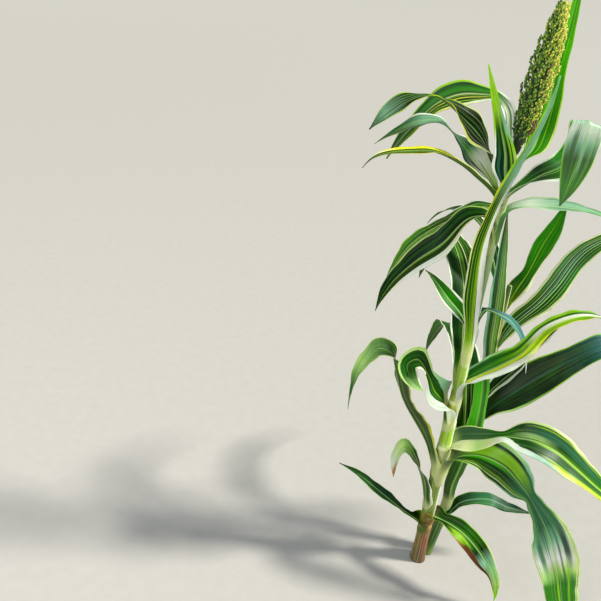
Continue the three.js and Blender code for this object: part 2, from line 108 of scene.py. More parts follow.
class SmoothPath:
    """A curve through points of any dimension, measured along its chords."""

    def __init__(self, points):
        self.points = np.array(points, float)
        steps = np.linalg.norm(np.diff(self.points[:, :3], axis=0), axis=1)
        self.chord = np.concatenate([[0], np.cumsum(steps)])
        self.length = self.chord[-1]
        slope = np.diff(self.points, axis=0) / steps[:, None]
        wide = (self.points[2:] - self.points[:-2]) / (self.chord[2:] - self.chord[:-2])[:, None]
        self.tangents = np.vstack([2 * slope[0] - wide[0], wide, 2 * slope[-1] - wide[-1]])

    def at(self, distance):
        distance = min(max(distance, 0), self.length)
        i = min(int(np.searchsorted(self.chord, distance, "right")) - 1, len(self.points) - 2)
        h = self.chord[i + 1] - self.chord[i]
        t = (distance - self.chord[i]) / h
        return (
            (1 + 2 * t) * (1 - t) ** 2 * self.points[i]
            + t * (1 - t) ** 2 * h * self.tangents[i]
            + t * t * (3 - 2 * t) * self.points[i + 1]
            + t * t * (t - 1) * h * self.tangents[i + 1]
        )


def axis_at(stem, z):
    """Centre of a stem at height z."""
    path = SmoothPath(stem["axis"])
    low, high = 0, path.length
    for _ in range(HEIGHT_SEARCH_STEPS):
        middle = (low + high) / 2
        if path.at(middle)[2] < z:
            low = middle
        else:
            high = middle
    return path.at(high)


def stem_radius(stem, z):
    swell = [math.exp(-(node - z) / SWELL_LENGTH) for node in stem["nodes"] if z <= node]
    return between(stem["radius"], z) + SHEATH_SWELL * max(swell, default=0)


def stem_surface(stem, z, turn):
    """Radius of a stem's sheaths at height z, in the direction turn, in radians."""
    seam = math.radians(next((angle for top, angle in stem["seams"] if z <= top + 1), 0))
    round_it = ((turn - seam) / (2 * math.pi)) % 1
    overlap = SEAM_DEPTH * (round_it - 0.5) * min(1, (1 - round_it) / SEAM_WIDTH)
    ribs = RIB_DEPTH * math.sin(RIB_COUNT * turn + RIB_DRIFT * math.sin(z / RIB_DRIFT_RISE))
    return stem_radius(stem, z) - RIB_DEPTH + overlap + ribs


def piece_from(name, vertices, faces, uvs=None):
    """A smooth mesh object from points in millimetres, with a pattern place for each face corner."""
    mesh = bpy.data.meshes.new(name)
    mesh.from_pydata((np.array(vertices) * 0.001).tolist(), [], faces)
    if uvs is not None:
        layer = mesh.uv_layers.new(name="UVMap")
        layer.data.foreach_set("uv", np.array(uvs, np.float32).ravel())
    mesh.shade_smooth()
    piece = bpy.data.objects.new(name, mesh)
    scene.collection.objects.link(piece)
    return piece


def stem_piece(name, stem):
    top = stem["axis"][-1][2]
    heights = list(np.arange(0, top, STEM_RISE)) + [top]
    heights += [node + rise for node in stem["nodes"] for rise in COLLAR_RINGS]
    heights.sort()
    vertices, faces, uvs = [], [], []
    for z in heights:
        centre = axis_at(stem, z)
        for j in range(STEM_SIDES):
            turn = 2 * math.pi * j / STEM_SIDES
            r = stem_surface(stem, z, turn)
            vertices.append((centre[0] + r * math.cos(turn), centre[1] + r * math.sin(turn), z))
    for i in range(len(heights) - 1):
        for j in range(STEM_SIDES):
            a, b = i * STEM_SIDES + j, i * STEM_SIDES + (j + 1) % STEM_SIDES
            faces.append((a, b, b + STEM_SIDES, a + STEM_SIDES))
            low, high = heights[i] / top, heights[i + 1] / top
            left, right = j / STEM_SIDES, (j + 1) / STEM_SIDES
            uvs += [(left, low), (right, low), (right, high), (left, high)]
    last = (len(heights) - 1) * STEM_SIDES
    faces.append(tuple(range(STEM_SIDES))[::-1])
    faces.append(tuple(range(last, last + STEM_SIDES)))
    uvs += [(0.5, 0)] * STEM_SIDES + [(0.5, 1)] * STEM_SIDES
    return piece_from(name, vertices, faces, uvs)


def tone(red, green, blue):
    """A colour from the screen's 0 to 255 values, as the shaders take it."""
    parts = [v / 255 for v in (red, green, blue)]
    return [v / 12.92 if v <= 0.04045 else ((v + 0.055) / 1.055) ** 2.4 for v in parts] + [1]


PALETTE = {
    "deep": tone(4, 44, 6),
    "green": tone(22, 100, 6),
    "bright": tone(52, 146, 6),
    "vivid": tone(92, 202, 0),
    "lime": tone(160, 206, 36),
    "blue": tone(14, 74, 62),
    "sea": tone(64, 130, 98),
    # Sky is a painted reflection of the sky on glossy blades. Grey is a greyish tint, and on some glossy
    # blades a painted sky reflection.
    "sky": tone(84, 150, 172),
    "grey": tone(152, 192, 172),
    "pale": tone(190, 222, 150),
    "cream": tone(238, 242, 190),
    "white": tone(248, 250, 244),
    # A white dulled by painted shade, for a white margin that hangs out of the light.
    "painted_shade_white": tone(212, 222, 212),
    "yellow": tone(228, 228, 60),
    "olive": tone(112, 132, 40),
    "beige": tone(198, 194, 160),
    "tan": tone(190, 140, 76),
    "brown": tone(96, 56, 30),
    "rust": tone(124, 64, 32),
}


class Skin:
    """A surface finish being made. Most calls add one shader node and give back its output."""

    def __init__(self, name):
        self.material = bpy.data.materials.new(name)
        self.material.use_nodes = True
        self.tree = self.material.node_tree
        self.tree.nodes.clear()

    def add(self, kind, inputs=(), output=0, **settings):
        made = self.tree.nodes.new(kind)
        for key, value in settings.items():
            setattr(made, key, value)
        for key, value in dict(inputs).items():
            if isinstance(value, bpy.types.NodeSocket):
                self.tree.links.new(value, made.inputs[key])
            else:
                made.inputs[key].default_value = value
        return made.outputs[output]

    def math(self, operation, a, b=0.0):
        return self.add("ShaderNodeMath", {0: a, 1: b}, operation=operation)

    def times(self, a, b):
        return self.math("MULTIPLY", a, b)

    def plus(self, a, b):
        return self.math("ADD", a, b)

    def minus(self, a, b):
        return self.math("SUBTRACT", a, b)

    def swing(self, value, spread):
        """A value between 0 and 1, made to swing to both sides of 0."""
        return self.times(self.minus(value, 0.5), spread)

    def mix(self, factor, a, b, blend="MIX"):
        return self.add("ShaderNodeMix", {0: factor, 6: a, 7: b}, 2, data_type="RGBA", blend_type=blend)

    def span(self, value, low, high, to_low=0.0, to_high=1.0):
        ends = {"Value": value, "From Min": low, "From Max": high, "To Min": to_low, "To Max": to_high}
        return self.add("ShaderNodeMapRange", ends, interpolation_type="SMOOTHSTEP")

    def mottle(self, place, seed, scale, detail):
        """Seeded noise over a vector."""
        inputs = {"Vector": place, "W": seed, "Scale": scale, "Detail": detail}
        return self.add("ShaderNodeTexNoise", inputs, noise_dimensions="4D")

    def noise(self, values, scales, seed, detail=3.0):
        """Seeded noise over two or three values, each stretched by its own scale."""
        stretched = [self.times(value, scale) for value, scale in zip(values, scales)]
        return self.mottle(self.add("ShaderNodeCombineXYZ", enumerate(stretched)), seed, 1.0, detail)

    def ramp(self, value, stops):
        """A run of colours. stops: places from 0 to 1, each with a colour."""
        made = self.tree.nodes.new("ShaderNodeValToRGB")
        self.tree.links.new(value, made.inputs[0])
        elements = made.color_ramp.elements
        while len(elements) < len(stops):
            elements.new(0.5)
        for element, (place, colour) in zip(elements, sorted(stops, key=lambda stop: stop[0])):
            element.position = place
            element.color = colour
        return made.outputs[0]

    def tones(self, value, stops):
        """A run of colours from the palette, by their names."""
        return self.ramp(value, [(place, PALETTE[word]) for place, word in stops])

    def level(self, value, pairs):
        """A number that follows value, from pairs of places and numbers between 0 and 1."""
        return self.ramp(value, [(x, (y, y, y, 1)) for x, y in pairs])

    def place(self):
        """How far across and how far along the pattern, from the piece's own map."""
        split = self.tree.nodes.new("ShaderNodeSeparateXYZ")
        self.tree.links.new(self.add("ShaderNodeUVMap", uv_map="UVMap"), split.inputs[0])
        return split.outputs[0], split.outputs[1]

    def bump(self, height, strength, distance):
        return self.add("ShaderNodeBump", {"Height": height, "Strength": strength, "Distance": distance})

    def surface(self, colour, roughness, bump, through=None, share=0.0, **sockets):
        """Closes the finish. share: how much of the light passes through, tinted as through."""
        inputs = {"Base Color": colour, "Roughness": roughness, "Normal": bump, **sockets}
        skin = self.add("ShaderNodeBsdfPrincipled", inputs)
        if through is not None:
            lit = self.add("ShaderNodeBsdfTranslucent", {"Color": through, "Normal": bump})
            skin = self.add("ShaderNodeMixShader", {0: share, 1: skin, 2: lit})
        output = self.tree.nodes.new("ShaderNodeOutputMaterial")
        self.tree.links.new(skin, output.inputs["Surface"])
        return self.material


def sheath_skin(name, stem, seed):
    """Waxy striped sheaths: banded by height, with painted shade in olive on the left and a painted
    highlight in white on the right, towards the key light.
    """
    s = Skin(name)
    top = stem["axis"][-1][2]
    across, along = s.place()
    turns = s.times(across, 2 * math.pi)
    circle = (s.math("COSINE", turns), s.math("SINE", turns))
    height = s.times(along, top / 1000)
    blotch = s.noise((*circle, height), BLOTCH_SCALE, seed, 4.0)
    streak = s.noise((*circle, height), STREAK_SCALE, seed + 3, 4.0)
    shifted = s.plus(along, s.swing(blotch, BAND_RAGGEDNESS))
    colour = s.tones(shifted, [(z / top, word) for z, word in stem["bands"]])
    colour = s.mix(s.span(streak, 0.52, 0.7, 0, 0.75), colour, PALETTE["pale"])
    colour = s.mix(s.span(streak, 0.44, 0.3, 0, 0.55), colour, PALETTE["green"])
    colour = s.mix(s.span(blotch, 0.56, 0.72, 0, 0.35), colour, PALETTE["beige"])
    # Painted shade: the left side, away from the key light, is mixed towards olive.
    left = s.times(s.span(circle[0], -0.1, -0.9, 0, 0.6), s.span(height, 0.04, 0.14, 0.4, 1))
    colour = s.mix(left, colour, PALETTE["olive"])
    # Painted highlight: the right side, towards the key light, is mixed towards white.
    right = s.times(s.span(circle[0], 0.5, 0.9, 0, 0.8), s.span(height, 0.1, 0.16))
    colour = s.mix(right, colour, PALETTE["white"])
    for z in stem["pale_collars"]:
        near = s.math("ABSOLUTE", s.minus(height, z / 1000))
        colour = s.mix(s.span(near, *COLLAR_LINE, 0, 0.7), colour, PALETTE["cream"])
    rib = s.times(s.plus(s.math("SINE", s.times(turns, PAINTED_RIBS)), 1.0), 0.5)
    colour = s.mix(s.times(rib, 0.16), colour, PALETTE["deep"], "MULTIPLY")
    rough = s.plus(0.34, s.times(blotch, 0.3))
    bump = s.bump(s.plus(s.times(rib, 0.4), streak), 0.3, 0.0006)
    return s.surface(colour, rough, bump)


def grow_stem(name, stem, seed):
    cane = stem_piece(name + "_cane", stem)
    cane.data.materials.append(sheath_skin(name + "_sheaths", stem, seed))
    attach(cane, "root")
    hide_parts(name + "_stem")


grow_stem("main", MAIN_STEM, 2)


# Second stem. A thinner shoot from the same root, behind the main stem and to its right. It
# leans away at its foot, stands up straight above, and has only leaves at its top.
SECOND_STEM = {
    "axis": [(22, 17.5, 0), (44, 37, 110), (60, 50, 260), (66, 56, 400), (66, 58, 640)],
    "radius": [(0, 12), (15, 11), (200, 9.5), (400, 7.5), (540, 5.5), (640, 4)],
    "nodes": [92, 140, 225, 296, 372, 430],
    "seams": [(92, 150), (140, 60), (225, -70), (296, 180), (372, 200), (430, 60), (700, 190)],
    "pale_collars": [92, 140, 225, 296, 372, 430],
    "bands": [(0, "olive"), (30, "green"), (92, "green"), (140, "bright"), (225, "green"), (296, "lime"),
              (372, "green"), (430, "lime"), (500, "yellow"), (640, "green")],
}
grow_stem("second", SECOND_STEM, 7)


# Lower leaves. Long arching blades with a pale midrib, cream margins and stripes along the
# veins. Each clasps the stem with its own sheath. The lowest ones have dried margins.
BLADE_STEP = 4.0
BLADE_CELLS = 24
FOLD_STEPS = 4
FOLD_FROM = -0.02
FOLD_TO = 0.16
SHEATH_RUN = 26
SHEATH_SINK = 0.8
SHEATH_STAND_OFF = 0.3
COLLAR_STAND_OFF = 0.5
CLASP_FOLD = 58
CLASP_LENGTH = 0.1
CLASP_TO = 1.15
CLEAR_FROM = 2.3
COLLAR_WIDTH = 0.36
OPENED_AT = 0.3
TAPER_FROM = 0.42
TAPER_POWER = 0.85
LEAST_HALF = 1.2
TIP_FROM = 0.9
TIP_HALF = 0.4
FOOT_WRAP = 0.55
WAVE_LENGTH = 105
WAVE_START = 0.37
WAVE_GROWTH = 5
WAVE_FADE = 4
WAVE_SPREAD = 1.6
RIPPLE_SPREAD = 4
RIPPLE_SHARE = 0.3
MARGIN_WAVES = ((1, 0), (0.83, 1.9))
MARGIN_RIPPLES = ((2.9, 1), (3.3, 0))
MIDRIB_THICKNESS = 1.5
MIDRIB_TAPER = 0.75
MIDRIB_HALF_WIDTH = 2.2
BLADE_THICKNESS = 0.55
MARGIN_THICKNESS = 0.22


def smooth_step(low, high, x):
    t = min(max((x - low) / (high - low), 0), 1)
    return t * t * (3 - 2 * t)


def blade_width(s):
    """Width of a blade at share s of its length, as a share of its full width."""
    opened = math.sin(math.pi / 2 * min(1, s / OPENED_AT))
    narrowed = max(0, (s - TAPER_FROM) / (1 - TAPER_FROM))
    taper = max(0, math.cos(math.pi / 2 * narrowed)) ** TAPER_POWER
    return (COLLAR_WIDTH + (1 - COLLAR_WIDTH) * opened) * taper


def blade_route(leaf):
    """The midrib's path, from the sheath up through the collar to the tip, and its frame."""
    stem = leaf["stem"]
    node = leaf["node"]
    foot = axis_at(stem, node)
    heading = math.radians(leaf["heading"])
    out = np.array([math.cos(heading), math.sin(heading), 0])
    across = np.array([-math.sin(heading), math.cos(heading), 0])
    radius = stem_radius(stem, node)
    low = axis_at(stem, node - SHEATH_RUN)
    start = low + out * (stem_radius(stem, node - SHEATH_RUN) - SHEATH_SINK)
    half_way = axis_at(stem, node - SHEATH_RUN / 2)
    middle = half_way + out * (stem_radius(stem, node - SHEATH_RUN / 2) + SHEATH_STAND_OFF)
    collar = foot + out * (radius + COLLAR_STAND_OFF)
    knots = [[*start, 0, 1], [*middle, 0, 1], [*collar, 0, 1]]
    for reach, height, offset, roll, *share in leaf["path"]:
        place = foot + out * reach + across * offset
        knots.append([place[0], place[1], height, roll, share[0] if share else 1])
    return SmoothPath(knots), across, out, foot, radius


def blade_half_section(half, fold, curve, sign):
    """Points from the midrib to one margin: a soft V, bent further round a stem by curve."""
    steps = BLADE_CELLS // 2 * FOLD_STEPS
    place = np.zeros(2)
    points = [place.copy()]
    for i in range(steps):
        a = (i + 0.5) / steps
        angle = fold * smooth_step(FOLD_FROM, FOLD_TO, a) + curve * half * a
        place = place + half / steps * np.array([sign * math.cos(angle), math.sin(angle)])
        if (i + 1) % FOLD_STEPS == 0:
            points.append(place.copy())
    return points


def blade_mesh(leaf):
    """Rings of a thin closed blade, with the pattern's place for each ring."""
    path, sideways, out, foot, radius = blade_route(leaf)
    collar = path.chord[2]
    blade_length = path.length - collar
    count = int(path.length / BLADE_STEP)
    rings, places = [], []
    for i in range(count + 1):
        d = path.length * i / count
        x, y, z, roll_degrees, share = path.at(d)
        middle = np.array([x, y, z])
        along = path.at(d + 1)[:3] - path.at(d - 1)[:3]
        along /= np.linalg.norm(along)
        sideways = sideways - along * float(sideways @ along)
        sideways /= np.linalg.norm(sideways)
        upper = np.cross(along, sideways)
        roll = math.radians(roll_degrees)
        side = sideways * math.cos(roll) + upper * math.sin(roll)
        face = np.cross(along, side)
        s = max(0, (d - collar) / blade_length)
        reach = max(float((middle - foot) @ out), radius)
        off_stem = smooth_step(CLASP_TO * radius + 1, CLEAR_FROM * radius + 3, reach) if d > collar else 0
        free_half = max(LEAST_HALF, leaf["width"] / 2 * blade_width(s) * share)
        clasp_half = leaf["wrap"] * radius * (FOOT_WRAP + (1 - FOOT_WRAP) * min(1, d / collar))
        half = free_half * off_stem + clasp_half * (1 - off_stem)
        if s > TIP_FROM:
            half = min(half, max(TIP_HALF, free_half))
        fold_degrees = leaf["fold"] + (CLASP_FOLD - leaf["fold"]) * math.exp(-s / CLASP_LENGTH)
        fold = math.radians(fold_degrees) * off_stem
        curve = (1 - off_stem) / reach
        wave = leaf["wave"] * min(1, s * WAVE_GROWTH) * min(1, (1 - s) * WAVE_FADE)
        turn = 2 * math.pi * s * blade_length / WAVE_LENGTH + leaf["node"] * WAVE_START
        waves = [wave * math.sin(turn * pace + start) for pace, start in MARGIN_WAVES]
        ripples = [RIPPLE_SHARE * wave * math.sin(turn * pace + start) for pace, start in MARGIN_RIPPLES]
        left = blade_half_section(half, fold, curve, -1)[::-1]
        right = blade_half_section(half, fold, curve, 1)
        top, under = [], []
        for j, (p, q) in enumerate(left + right[1:]):
            u = 2 * j / BLADE_CELLS - 1
            k = 0 if u < 0 else 1
            lift = waves[k] * abs(u) ** WAVE_SPREAD + ripples[k] * abs(u) ** RIPPLE_SPREAD
            centre = middle + side * p + face * (q + lift)
            thin = BLADE_THICKNESS + (MARGIN_THICKNESS - BLADE_THICKNESS) * abs(u) ** 2
            near_rib = math.exp(-((u * half / MIDRIB_HALF_WIDTH) ** 2))
            keel = MIDRIB_THICKNESS * (1 - MIDRIB_TAPER * s) * near_rib
            lean = fold * np.sign(u) + curve * half * u
            normal = face * math.cos(lean) - side * math.sin(lean)
            top.append(centre + normal * thin / 2)
            under.append(centre - normal * (thin / 2 + keel))
        rings.append(top + under[::-1])
        places.append(d / path.length)
    return rings, places


def blade_piece(name, leaf):
    """A leaf's mesh. Its upper face has the pattern from 0 to 1, its lower face from 1 to 2."""
    rings, places = blade_mesh(leaf)
    n = len(rings[0])
    spots = [face + j / BLADE_CELLS for face in (0, 1) for j in range(BLADE_CELLS + 1)]
    vertices = [p for ring in rings for p in ring]
    faces, uvs = [], []
    for i in range(len(rings) - 1):
        for j in range(n):
            k = (j + 1) % n
            faces.append((i * n + j, i * n + k, (i + 1) * n + k, (i + 1) * n + j))
            a = spots[j]
            b = spots[k] if k > j and j != BLADE_CELLS else spots[j]
            uvs += [(a, places[i]), (b, places[i]), (b, places[i + 1]), (a, places[i + 1])]
    for ring, flip in ((0, False), (len(rings) - 1, True)):
        for j in range(BLADE_CELLS):
            quad = [ring * n + j, ring * n + n - 1 - j, ring * n + n - 2 - j, ring * n + j + 1]
            faces.append(tuple(quad[::-1] if flip else quad))
            uvs += [(spots[j], places[ring])] * 4
    return piece_from(name, vertices, faces, uvs)


# How a blade is striped. Each pattern has its scale across a millimetre of the blade's width,
# its scale along a metre of its length, and its detail. The rest are shares and metres.
DRIFT_SCALE = (3, 9)
LANES = (0.3, 2.0, 2.0)
THREADS = (0.55, 2.5, 2.0)
PATCHES = (0.05, 22, 4.0)
FINE_LINES = (0.9, 1.5, 1.0)
VEINS = 2.6
STRIPE_DRIFT = 0.05
MARGIN_RAGGEDNESS = 0.1
SPOT_RAGGEDNESS = 0.03
SPOT_FLATNESS = 0.45
RUN_FADES = ((-0.04, 0), (0.03, 1))
MIDRIB_FADE = [(0, 1), (0.6, 0.55), (1, 0.2)]
THROUGH_TINT = {"Hue": 0.49, "Saturation": 1.1, "Value": 1.7}
THROUGH_SHARE = 0.55

# What a leaf has unless its own call says otherwise.
PLAIN_BLADE = {
    "wrap": 1.9, "parted": False, "left_edge": None, "stripes": [], "spots": [],
    "left": [(0, 0.2), (0.4, 0.12), (1, 0.05)], "right": [(0, 0.2), (0.4, 0.12), (1, 0.05)],
    "edge": [(0, "cream"), (0.3, "white"), (1, "cream")],
    "bands": 0.35, "band": "lime", "lines": 0.25, "rib": "pale", "collar": "cream",
    "under": "pale", "under_share": 0.12, "gloss": 0.18,
}


def blade_skin(name, leaf, seed):
    """A striped blade, a little paler below, with its stripes under its midrib and margins."""
    s = Skin(name)
    raw, along = s.place()
    across = s.math("PINGPONG", raw, 1.0)
    lower = s.math("GREATER_THAN", raw, 1.0)
    width = leaf["width"]
    length = blade_route(leaf)[0].length / 1000
    metre = s.times(along, length)
    drift = s.noise((across, metre), DRIFT_SCALE, seed)
    u = s.plus(across, s.swing(drift, STRIPE_DRIFT))

    def pattern(scales, number):
        return s.noise((u, metre), (width * scales[0], scales[1]), seed + number, scales[2])

    lanes = pattern(LANES, 1)
    threads = pattern(THREADS, 2)
    patches = pattern(PATCHES, 4)
    colour = s.tones(along, leaf["tones"])
    colour = s.mix(s.span(patches, 0.42, 0.7, 0, 0.25), colour, PALETTE["bright"])
    colour = s.mix(s.span(lanes, 0.46, 0.32, 0, 0.55), colour, PALETTE["deep"])
    colour = s.mix(s.span(lanes, 0.54, 0.62, 0, leaf["bands"]), colour, PALETTE[leaf["band"]])
    colour = s.mix(s.span(threads, 0.57, 0.64, 0, leaf["lines"]), colour, PALETTE["pale"])
    for place, wide, word, strength, *run in leaf["stripes"]:
        off = s.math("ABSOLUTE", s.minus(u, 0.5 + place / 2))
        stripe = s.span(off, wide / 2, wide / 4, 0, strength)
        if run:
            ends = [(run[0] + shift, share) for shift, share in RUN_FADES]
            ends += [(run[1] - shift, share) for shift, share in RUN_FADES[::-1]]
            stripe = s.times(stripe, s.level(along, [(x, y) for x, y in ends if 0 <= x <= 1]))
        colour = s.mix(stripe, colour, PALETTE[word])
    off_rib = s.math("ABSOLUTE", s.minus(across, 0.5))
    rib_edge = s.times(s.level(along, MIDRIB_FADE), 2.0 / width)
    rib = s.span(s.math("DIVIDE", off_rib, rib_edge), 1.3, 0.5)
    colour = s.mix(s.times(rib, 0.75), colour, PALETTE[leaf["rib"]])
    ragged = s.swing(threads, MARGIN_RAGGEDNESS)
    green_lines = s.span(threads, 0.64, 0.56, 0.45, 1)
    sides = (
        (across, leaf["left"], leaf["left_edge"] or leaf["edge"]),
        (s.minus(1.0, across), leaf["right"], leaf["edge"]),
    )
    for from_edge, widths, tones in sides:
        inside = s.minus(s.level(along, [(v, w / 2) for v, w in widths]), s.plus(from_edge, ragged))
        margin = s.times(s.span(inside, -0.012, 0.012), green_lines)
        colour = s.mix(margin, colour, s.tones(along, tones))
    colour = s.mix(s.span(along, 0.14, 0.05, 0, 0.8), colour, PALETTE[leaf["collar"]])
    for v, place, size, word in leaf["spots"]:
        off = s.add("ShaderNodeCombineXYZ", {
            0: s.times(s.minus(across, 0.5 + place / 2), width / 1000),
            1: s.times(s.minus(metre, v * length), SPOT_FLATNESS)})
        gap = s.add("ShaderNodeVectorMath", {0: off}, 1, operation="LENGTH")
        gap = s.plus(gap, s.swing(threads, SPOT_RAGGEDNESS))
        colour = s.mix(s.span(gap, size, size * 0.3, 0, 0.9), colour, PALETTE[word])
    colour = s.mix(s.times(lower, leaf["under_share"]), colour, PALETTE[leaf["under"]])
    vein = s.math("SINE", s.times(across, width * VEINS))
    shade = s.plus(s.span(pattern(FINE_LINES, 3), 0.3, 0.7, 0.72, 1.12), s.times(vein, 0.05))
    tinted = s.add("ShaderNodeCombineColor", {0: shade, 1: shade, 2: shade})
    colour = s.mix(1.0, colour, tinted, "MULTIPLY")
    rough = s.plus(0.3, s.times(patches, 0.2))
    bump = s.bump(s.plus(s.times(vein, 0.25), threads), 0.35, 0.0005)
    lighter = s.add("ShaderNodeHueSaturation", {"Color": colour, **THROUGH_TINT})
    through = s.mix(1.0, lighter, PALETTE["white"], "DARKEN")
    return s.surface(colour, rough, bump, through, THROUGH_SHARE, **{"Specular IOR Level": leaf["gloss"]})


def grow_leaf(name, stem, seed, **own):
    """One leaf from its own values. Places along it run from 0 at the sheath to 1 at the tip.

    node: height of its collar. heading: its direction round the stem, in degrees. fold: how
    far each half is raised, in degrees. wave: height of the waves in its margins. path: knots
    of the midrib, each with its reach, height, offset, roll and share of the width. tones: the
    blade's colours along it. left, right: widths of the margins, as shares of half the blade.
    edge, left_edge: the margins' colours. stripes: place across from -1 to 1, width, colour,
    strength, and from where to where. spots: place along, place across, size in metres, colour.
    bands, lines: strength of the fine streaks. wrap: how far round the stem its foot reaches.
    """
    leaf = {**PLAIN_BLADE, **own, "stem": stem}
    blade = blade_piece("blade_" + name, leaf)
    blade.data.materials.append(blade_skin("striped_" + name, leaf, seed))
    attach(blade, "root")
    nodes = ["leaf_" + name]
    if leaf["parted"]:
        nodes.append("leaf_" + name + "_end")
    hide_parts(*nodes)


grow_leaf(
    "lowest_right", MAIN_STEM, seed=10, node=137, heading=-38, width=44, fold=12, wave=4,
    path=[(75, 140, 0, 20), (125, 113, 0, 50, 0.95), (160, 74, 0, 55, 0.6), (172, 14, 0, 20, 0.8)],
    tones=[(0, "green"), (0.2, "deep"), (0.4, "green"), (0.52, "deep"), (0.6, "grey"), (0.8, "pale"),
           (0.9, "lime")],
    left=[(0, 0.06), (0.25, 0.1), (0.36, 0.26), (0.7, 0.3), (0.84, 0.16), (1, 0.05)],
    left_edge=[(0, "tan"), (0.28, "lime"), (0.36, "tan"), (0.44, "rust"), (0.6, "brown"), (0.8, "rust"),
               (0.92, "lime")],
    right=[(0, 0.08), (0.5, 0.06), (0.62, 0.16), (1, 0.06)],
    edge=[(0, "green"), (0.5, "lime"), (0.65, "cream"), (1, "lime")],
    stripes=[(-0.4, 0.16, "lime", 0.9, 0.26, 0.45), (0.1, 0.1, "bright", 0.7, 0.2, 0.6)],
    spots=[(0.34, -0.5, 0.01, "lime"), (0.5, -0.8, 0.008, "rust")],
    bands=0.2, collar="tan",
)
grow_leaf(
    "lowest_left", MAIN_STEM, seed=15, node=108, heading=183, width=26, fold=14, wave=2,
    path=[(58, 146, 0, 0), (104, 190, 0, -20), (152, 235, 0, -20), (195, 265, 0, 0)],
    tones=[(0, "olive"), (0.15, "deep"), (0.5, "blue"), (1, "green")], left=[(0, 0.08), (1, 0.05)],
    right=[(0, 0.12), (0.5, 0.14), (1, 0.08)], edge=[(0, "tan"), (0.3, "lime"), (1, "pale")],
    collar="olive", bands=0.2,
)
grow_leaf(
    "low_left_pale", MAIN_STEM, seed=20, node=176, heading=170, width=40, fold=16, wave=3,
    path=[(30, 235, 0, 20), (57, 285, 0, 0), (72, 300, 0, -20), (82, 275, 0, -40), (82, 215, 0, -40)],
    tones=[(0, "green"), (0.3, "deep"), (0.55, "green"), (0.68, "pale"), (0.88, "white"), (0.97, "tan")],
    stripes=[(0.4, 0.05, "cream", 0.9), (-0.4, 0.05, "cream", 0.9), (0.1, 0.03, "lime", 0.8)],
    spots=[(0.9, 0.5, 0.01, "rust"), (0.95, 0.2, 0.014, "tan")],
    lines=0.6,
)
grow_leaf(
    "big_right_front", MAIN_STEM, seed=25, node=246, heading=-27, width=92, fold=12, wave=5, parted=True,
    path=[(26, 300, 0, 0, 1.3), (64, 327, 0, 10), (110, 326, 0, 40, 0.85), (146, 301, 0, 40, 0.7),
          (172, 276, 0, 20, 0.32), (219, 213, 0, 55, 0.85), (260, 130, 0, 60), (292, 45, 0, 45, 1.1),
          (330, 10, 0, 10), (385, 7, 0, 0)],
    # Painted shade: the sea round the drooping neck. Painted sky reflection: the grey and white on the
    # blade below it.
    tones=[(0.12, "deep"), (0.2, "green"), (0.3, "deep"), (0.36, "sea"), (0.5, "sea"), (0.56, "grey"),
           (0.62, "white"), (0.67, "pale"), (0.72, "bright"), (0.85, "bright"), (1, "green")],
    left=[(0, 0.08), (0.2, 0.05), (1, 0.04)],
    right=[(0, 0.1), (0.14, 0.12), (0.22, 0.2), (0.34, 0.26), (0.4, 0.14), (0.6, 0.08), (1, 0.1)],
    edge=[(0, "yellow"), (0.15, "lime"), (0.24, "pale"), (0.35, "grey"), (0.45, "pale"), (0.75, "pale"),
          (1, "lime")],
    stripes=[(-0.78, 0.025, "cream", 0.9, 0.08, 0.46), (-0.62, 0.025, "lime", 0.9, 0.1, 0.42),
             (0.34, 0.34, "lime", 0.85, 0.17, 0.36), (-0.1, 0.16, "vivid", 0.7, 0.16, 0.3),
             (-0.15, 0.07, "lime", 0.8, 0.66, 1), (0.45, 0.07, "lime", 0.8, 0.66, 1),
             (0.6, 0.16, "deep", 0.8, 0.53, 0.63), (-0.6, 0.16, "sea", 0.8, 0.53, 0.65),
             (0.25, 0.05, "deep", 0.6, 0.56, 0.7), (0.85, 0.06, "cream", 0.9, 0.5, 1)],
    lines=0.4, bands=0.3, gloss=0.6,
)
grow_leaf(
    "mid_left_back", MAIN_STEM, seed=30, node=268, heading=176, width=54, fold=20, wave=3, parted=True,
    path=[(36, 326, 0, 30), (92, 418, 0, 30), (115, 483, 0, 20), (128, 516, 0, 0), (152, 520, 0, -20),
          (180, 460, 0, -20), (190, 380, 0, 0)],
    tones=[(0, "green"), (0.2, "deep"), (0.55, "deep"), (0.64, "green"), (0.78, "pale"), (0.9, "green"),
           (1, "bright")],
    left=[(0, 0.3), (0.3, 0.16), (0.6, 0.1), (1, 0.05)],
    right=[(0, 0.3), (0.3, 0.16), (0.6, 0.12), (1, 0.05)],
    edge=[(0, "cream"), (0.25, "yellow"), (0.6, "cream"), (1, "lime")],
    stripes=[(0.3, 0.03, "lime", 0.8), (-0.4, 0.03, "cream", 0.8, 0.1, 0.6)],
    bands=0.2, gloss=0.5,
)
grow_leaf(
    "second_low", SECOND_STEM, seed=35, node=92, heading=-5, width=30, fold=12, wave=3,
    path=[(34, 140, 0, 0), (82, 164, -6, 20), (125, 150, -6, 20), (180, 138, -4, 0)],
    tones=[(0, "green"), (0.3, "deep"), (0.55, "sea"), (0.75, "blue"), (1, "deep")],
    left=[(0, 0.08), (1, 0.04)], right=[(0, 0.08), (1, 0.04)], edge=[(0, "lime"), (1, "green")],
    rib="grey", bands=0.15, collar="lime",
)
grow_leaf(
    "second_bright", SECOND_STEM, seed=40, node=140, heading=-90, width=34, fold=16, wave=2,
    path=[(13, 190, -3, 0), (16, 225, 0, 0), (21, 321, 8, 0, 0.9), (24, 400, 6, 0, 1.1),
          (22, 458, 0, 0, 1.6), (20, 500, -12, 0, 2)],
    tones=[(0, "deep"), (0.35, "green"), (0.55, "vivid"), (0.85, "vivid"), (1, "bright")],
    left=[(0, 0.1), (1, 0.05)], right=[(0, 0.14), (0.5, 0.1), (1, 0.05)],
    edge=[(0, "cream"), (0.5, "pale"), (1, "lime")],
    stripes=[(-0.45, 0.4, "vivid", 0.95, 0.4, 0.9), (0.4, 0.3, "green", 0.8, 0.3, 1)],
    bands=0.2, lines=0.15,
)
